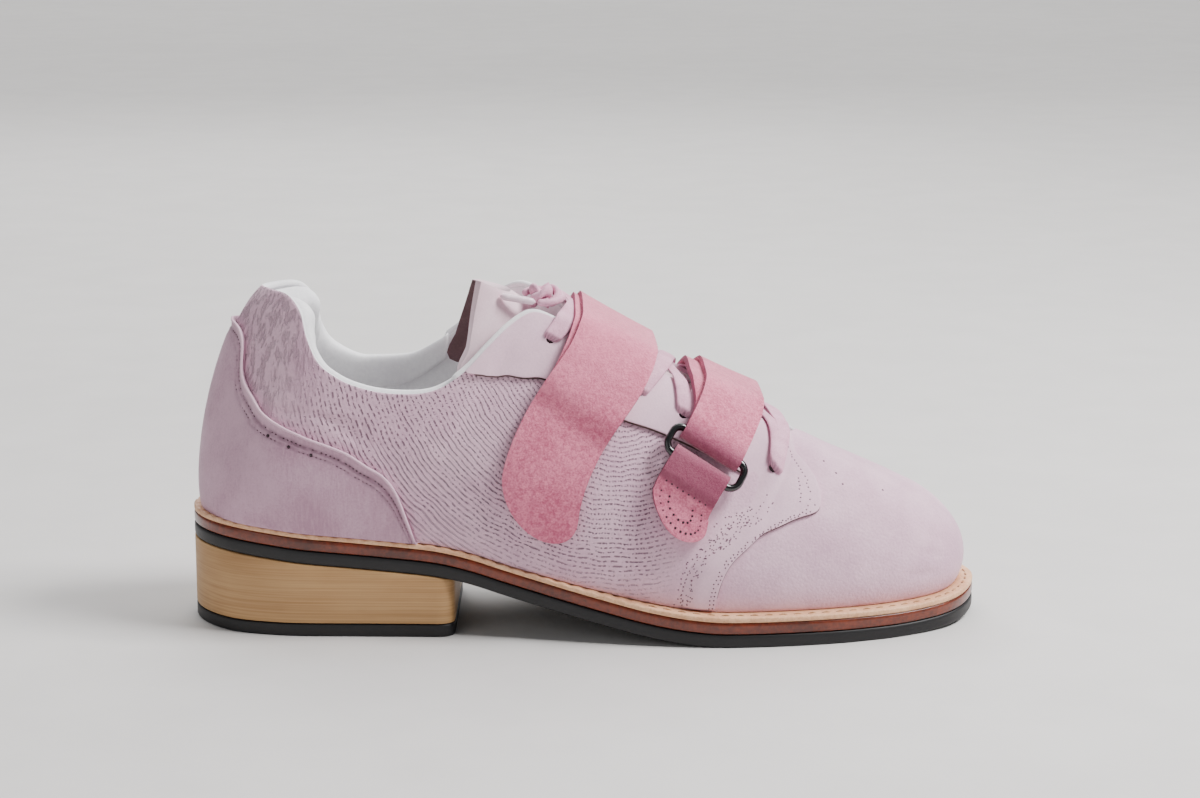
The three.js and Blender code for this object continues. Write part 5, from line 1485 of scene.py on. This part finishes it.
def tab_stitches(spec):
    """Stitch holes of a tab: two arcs inside its round end and a row across it."""
    _, place, turn, bar = laid(spec)
    half = tab_width(spec) / 2
    centre = bar + turn * (spec["tab"] - half)
    angles = np.radians(np.linspace(-100, 100, 15))
    small = np.radians(np.linspace(-105, 105, 10))
    wide, narrow = (half - inset for inset in ARCS_IN)
    row = np.linspace(-half + ROW_IN, half - ROW_IN, 8)
    length = np.concatenate([centre + turn * wide * np.cos(angles),
                             centre + turn * narrow * np.cos(small),
                             0 * row + bar + turn * spec["tab"] * ROW_AT])
    across = np.concatenate([wide * np.sin(angles), narrow * np.sin(small), row])
    lift = tilted(tab_over(abs(length - bar) / spec["tab"]), across) + TAB / 2
    spots = place(length, across, lift)
    normals = unit(place(length, across, lift + 1) - spots)
    return lenses(f"{spec['name']}_tab_holes", spots, normals, 0.5, HOLE, 0.35, 0.6)


# Side of the instep at which a strap's layers run into its fold
FOLD_SIDE = 0.38


def layer_path(length_at, turn, rows, sides):
    """Lengths, lifts and shifts of one layer of a strap."""
    shift = read(rows, "shift", sides) if "shift" in rows else 0 * sides
    return np.stack([length_at(turn * sides), read(rows, "lift", sides), shift], 1)


def strap_piece(spec):
    """Strap: free layer, fold round the ring's bar, and the layer sewn under it."""
    length_at, place, turn, _ = laid(spec)
    radius = RING_WIRE / 2 + CLEAR + STRAP / 2
    over = layer_path(length_at, turn, spec["free"], np.linspace(spec["tip"], FOLD_SIDE, 90))
    under = layer_path(length_at, turn, spec["sewn"],
                       np.linspace(FOLD_SIDE, spec["sewn"]["at"][0], 60))
    arc = fold_arc(length_at(turn * spec["ring_side"]), radius, turn)
    path = np.concatenate([over, arc, under])
    return band(f"{spec['name']}_strap_suede", place, path, spec["width"], STRAP,
                (len(over) + len(arc) // 2, 2, 11), 1, 0)


def tab_piece(spec):
    """Tab: two layers folded round the other bar of the ring, round at the end."""
    _, place, turn, bar = laid(spec)
    share = np.linspace(0.25, 1, 40)
    length = bar + turn * spec["tab"] * share
    low = mix(RING_LIFT - TAB_RADIUS, TAB_UNDER, smooth(share, 0, 0.5))
    over, under = (np.stack([length, lift, 0 * share], 1) for lift in (tab_over(share), low))
    arc = fold_arc(bar, TAB_RADIUS, -turn)
    path = np.concatenate([over[::-1], arc, under])
    return band(f"{spec['name']}_tab_suede", place, path, tab_width(spec), TAB,
                (len(over) + len(arc) // 2, 12.5, 14), 1, 1)


def ring_piece(spec):
    """Ring: a round wire bent into an oval, over the instep's own curve."""
    _, place, turn, bar = laid(spec)
    middle = bar - turn * RING_GAP / 2
    long_half = spec["width"] / 2 + RING_PLAY + RING_WIRE / 2
    quarters = np.radians([0, 90, 180, 270])[:, None]
    angle = (quarters + np.radians(np.linspace(0, 90, 14))).reshape(-1, 1)
    sign_x = np.repeat([1, -1, -1, 1], 14)[:, None]
    sign_y = np.repeat([1, 1, -1, -1], 14)[:, None]
    around = np.linspace(0, 2 * math.pi, 16, endpoint=False)[None, :]
    out = RING_CORNER + RING_WIRE / 2 * np.cos(around)
    x = sign_x * (RING_GAP / 2 - RING_CORNER) + out * np.cos(angle)
    y = sign_y * (long_half - RING_CORNER) + out * np.sin(angle)
    points = place(middle + x, y, RING_LIFT + RING_WIRE / 2 * np.sin(around))
    return closed_piece(f"{spec['name']}_ring_wire", points, PAINTED, around_rows=True)


for spec in (UPPER_STRAP, LOWER_STRAP):
    dress(strap_piece(spec), "strap_suede", f"strap_{spec['name']}")
    dress(tab_piece(spec), "strap_suede", f"ring_tab_{spec['name']}")
    dress(ring_piece(spec), "ring_metal", f"ring_{spec['name']}")
    dress(strap_fuzz(spec), "strap_suede")
    dress(tab_stitches(spec), "strap_suede")


# Laces

# Holes of the laces: back from the toe, side, how much further back on the inner side
HOLES = [(0.354, 0.385, 0.03), (0.41, 0.35, 0.018), (0.464, 0.333, 0.018),
         (0.519, 0.315, 0.014), (0.58, 0.275, 0.008), (0.636, 0.255, 0)]
KNOT_FROM = 0.605
# Lift of a lace, how far it runs past its hole, how deep it dives there and over what length
LACE_LIFT = FACING_LIFT + CLEAR + 0.3 + LACE / 2
LACE_PAST = 1.6
LACE_DIVE = 1.7
LACE_ROUND = 2.6


def strand(start, end, hump_up=0.0, dive_start=True, dive_end=True):
    """Flat lace from hole to hole over the instep; it dives and narrows into each hole."""
    slope = (end[0] - start[0]) / (end[1] - start[1])
    past = 0.03
    length_at, place = track(table("at from", [
        (start[1] - past, start[0] - slope * past), (end[1] + past, end[0] + slope * past),
    ]))
    first, last = length_at(start[1]), length_at(end[1])
    length = np.linspace(first - LACE_PAST, last + LACE_PAST, 90)
    rise = hump_up * hump((length - first) / (last - first), 0.5, 0.4)
    ends = np.minimum(
        length - length[0] if dive_start else np.inf, length[-1] - length if dive_end else np.inf)
    lift = LACE_LIFT + rise - LACE_DIVE * (1 - smooth(ends, 0, LACE_ROUND))
    near = np.minimum(length - length[0], length[-1] - length)
    round_off = np.sqrt(1 - (1 - np.clip(near / LACE_ROUND, 0, 1)) ** 2)[:, None]
    gathered = (1 - smooth(ends, 0.6, 4.5))[:, None]
    turn = np.linspace(0, 2 * math.pi, 28, endpoint=False)[None, :]
    flat = np.sign(np.sin(turn)) * abs(np.sin(turn)) ** 0.7
    folds = 0.3 * np.cos(3 * math.pi * np.cos(turn)) * gathered * round_off * (np.sin(turn) > 0)
    across = LACE_WIDTH / 2 * round_off * np.cos(turn)
    points = place(length[:, None], across, lift[:, None] + folds + LACE / 2 * flat * round_off)
    # Share of painted shade near the holes, in stripes along the pleats
    pleats = 0.55 + 0.45 * np.cos(5 * math.pi * np.cos(turn))
    return points, (1 - smooth(ends, 0.3, 3.2))[:, None] * pleats


def laces_piece():
    """Laces: a straight bar in front, then crossings, the last two ends up to the knot."""
    outer = [(back, -side) for back, side, _ in HOLES]
    inner = [(back + more, side) for back, side, more in HOLES]
    grids = [strand(outer[0], inner[0])]
    for i in range(1, len(HOLES)):
        grids.append(strand(outer[i - 1], inner[i], -0.6))
        grids.append(strand(outer[i], inner[i - 1], 0.8))
    grids.append(strand(outer[-1], (KNOT_FROM, 0.02), dive_end=False))
    grids.append(strand((KNOT_FROM, -0.02), inner[-1], dive_start=False))
    gather = np.concatenate([grid[1].ravel() for grid in grids])
    return joined_grids("lace_strands", [grid[0] for grid in grids], [LACE_CLOTH],
                        fields={"gather": gather})


def lace_hole_shadows():
    """Dark mouths of the lace holes, each under the end of its lace."""
    at, out, more = np.array(HOLES).T
    back = np.concatenate([at, at + more])
    side = np.concatenate([-out - 0.005, out + 0.005])
    normals = instep_normal(back, side)
    centres = instep(back, side) + normals * (FACING_LIFT + 0.02)
    return lenses("lace_holes", centres, normals, 1.8, HOLE)


dress(laces_piece(), "lace", "laces")
dress(lace_hole_shadows(), "facing_leather")

# Knot, lace end and tip
KNOT = instep(KNOT_FROM, 0.0) + (-11.9, -6, 9.1)
TIP_WAY = unit(np.array([-13, -2.7, 2.8]))
END_LEVEL = np.array([0, 0.3, 1.0])
# The knot's trefoil: how far out it runs and by how much that varies, its half height, and
# the width and thickness of its lace
KNOT_OUT = 3.4
KNOT_VARIES = 1.6
KNOT_HIGH = 2.2
KNOT_WIDE = 4.4
KNOT_THICK = 2.7


def knot_piece():
    """Knot: a flat lace drawn into a trefoil, a ring that winds three times over itself."""
    t = np.linspace(0, 2 * math.pi, 160, endpoint=False)
    out = KNOT_OUT + KNOT_VARIES * np.cos(3 * t)
    line = KNOT + np.stack([
        out * np.cos(2 * t), out * np.sin(2 * t) * 0.9, KNOT_HIGH * np.sin(3 * t)], 1)
    grid = tube(np.concatenate([line[-1:], line, line[:1]]), KNOT_WIDE, KNOT_THICK,
                unit(line[0] - KNOT), 14, False)
    return closed_piece("lace_knot_wraps", grid[1:-1], LACE_CLOTH, around_rows=True)


def tip_piece(start):
    """Lace tip: a thin hard tube with rounded ends."""
    line = start + TIP_WAY * (CLEAR + np.linspace(0, TIP_LENGTH, 14)[:, None])
    return tube_piece("lace_tip_sleeve", line, TIP_WIDTH, TIP_WIDTH * 0.8, END_LEVEL, LACE_TIP)


knot = dress(knot_piece(), "lace", "lace_knot")
end_line = smooth_line(KNOT + END_ROUTE, 60)
end_cord = dress(tube_piece("lace_end_cord", end_line, LACE_END, LACE_END, END_LEVEL, LACE_CLOTH),
                 "lace", "lace_end")
tip = dress(tip_piece(end_line[-1]), "lace_tip", "lace_tip")

# Floor, light
FLOOR_HALF = 20
floor_data = bpy.data.meshes.new("floor")
floor_data.from_pydata(
    [(x * FLOOR_HALF, y * FLOOR_HALF, 0) for x, y in ((-1, -1), (1, -1), (1, 1), (-1, 1))],
    [], [(0, 1, 2, 3)])
floor = bpy.data.objects.new("floor", floor_data)
bpy.context.scene.collection.objects.link(floor)
floor_data.materials.append(
    plain_finish("floor_paint", rgb(214, 211, 209), rgb(208, 205, 203), 0.85, 40, 0.01))


# Soft lights: name, place, point that it is turned to, size and power
SHOE_MIDDLE = (0, 0, 0.05)
LIGHTS = [
    ("key", (0.85, -0.15, 1.1), SHOE_MIDDLE, 0.5, 33),
    ("fill", (-0.9, -1.2, 0.7), SHOE_MIDDLE, 1.2, 4),
    ("back", (-0.2, 1.2, 0.9), SHOE_MIDDLE, 0.9, 8),
    ("far", (0, 3.9, 3.8), (0, 3.9, 0), 6.5, 330),
]


def area_light(name, place, aim, size, power):
    """A square soft light at a place, turned towards a point."""
    light = bpy.data.lights.new(name, "AREA")
    light.size = size
    light.energy = power
    lamp = bpy.data.objects.new(name, light)
    lamp.location = place
    way = np.array(aim) - np.array(place)
    flat = math.hypot(way[0], way[1])
    lamp.rotation_euler = (math.atan2(flat, -way[2]), 0, math.atan2(way[1], way[0]) - math.pi / 2)
    bpy.context.scene.collection.objects.link(lamp)


for row in LIGHTS:
    area_light(*row)
world = bpy.data.worlds.new("world")
bpy.context.scene.world = world
world.use_nodes = True
background = world.node_tree.nodes["Background"].inputs
background["Color"].default_value = (0.9, 0.92, 0.95, 1)
background["Strength"].default_value = 0.2
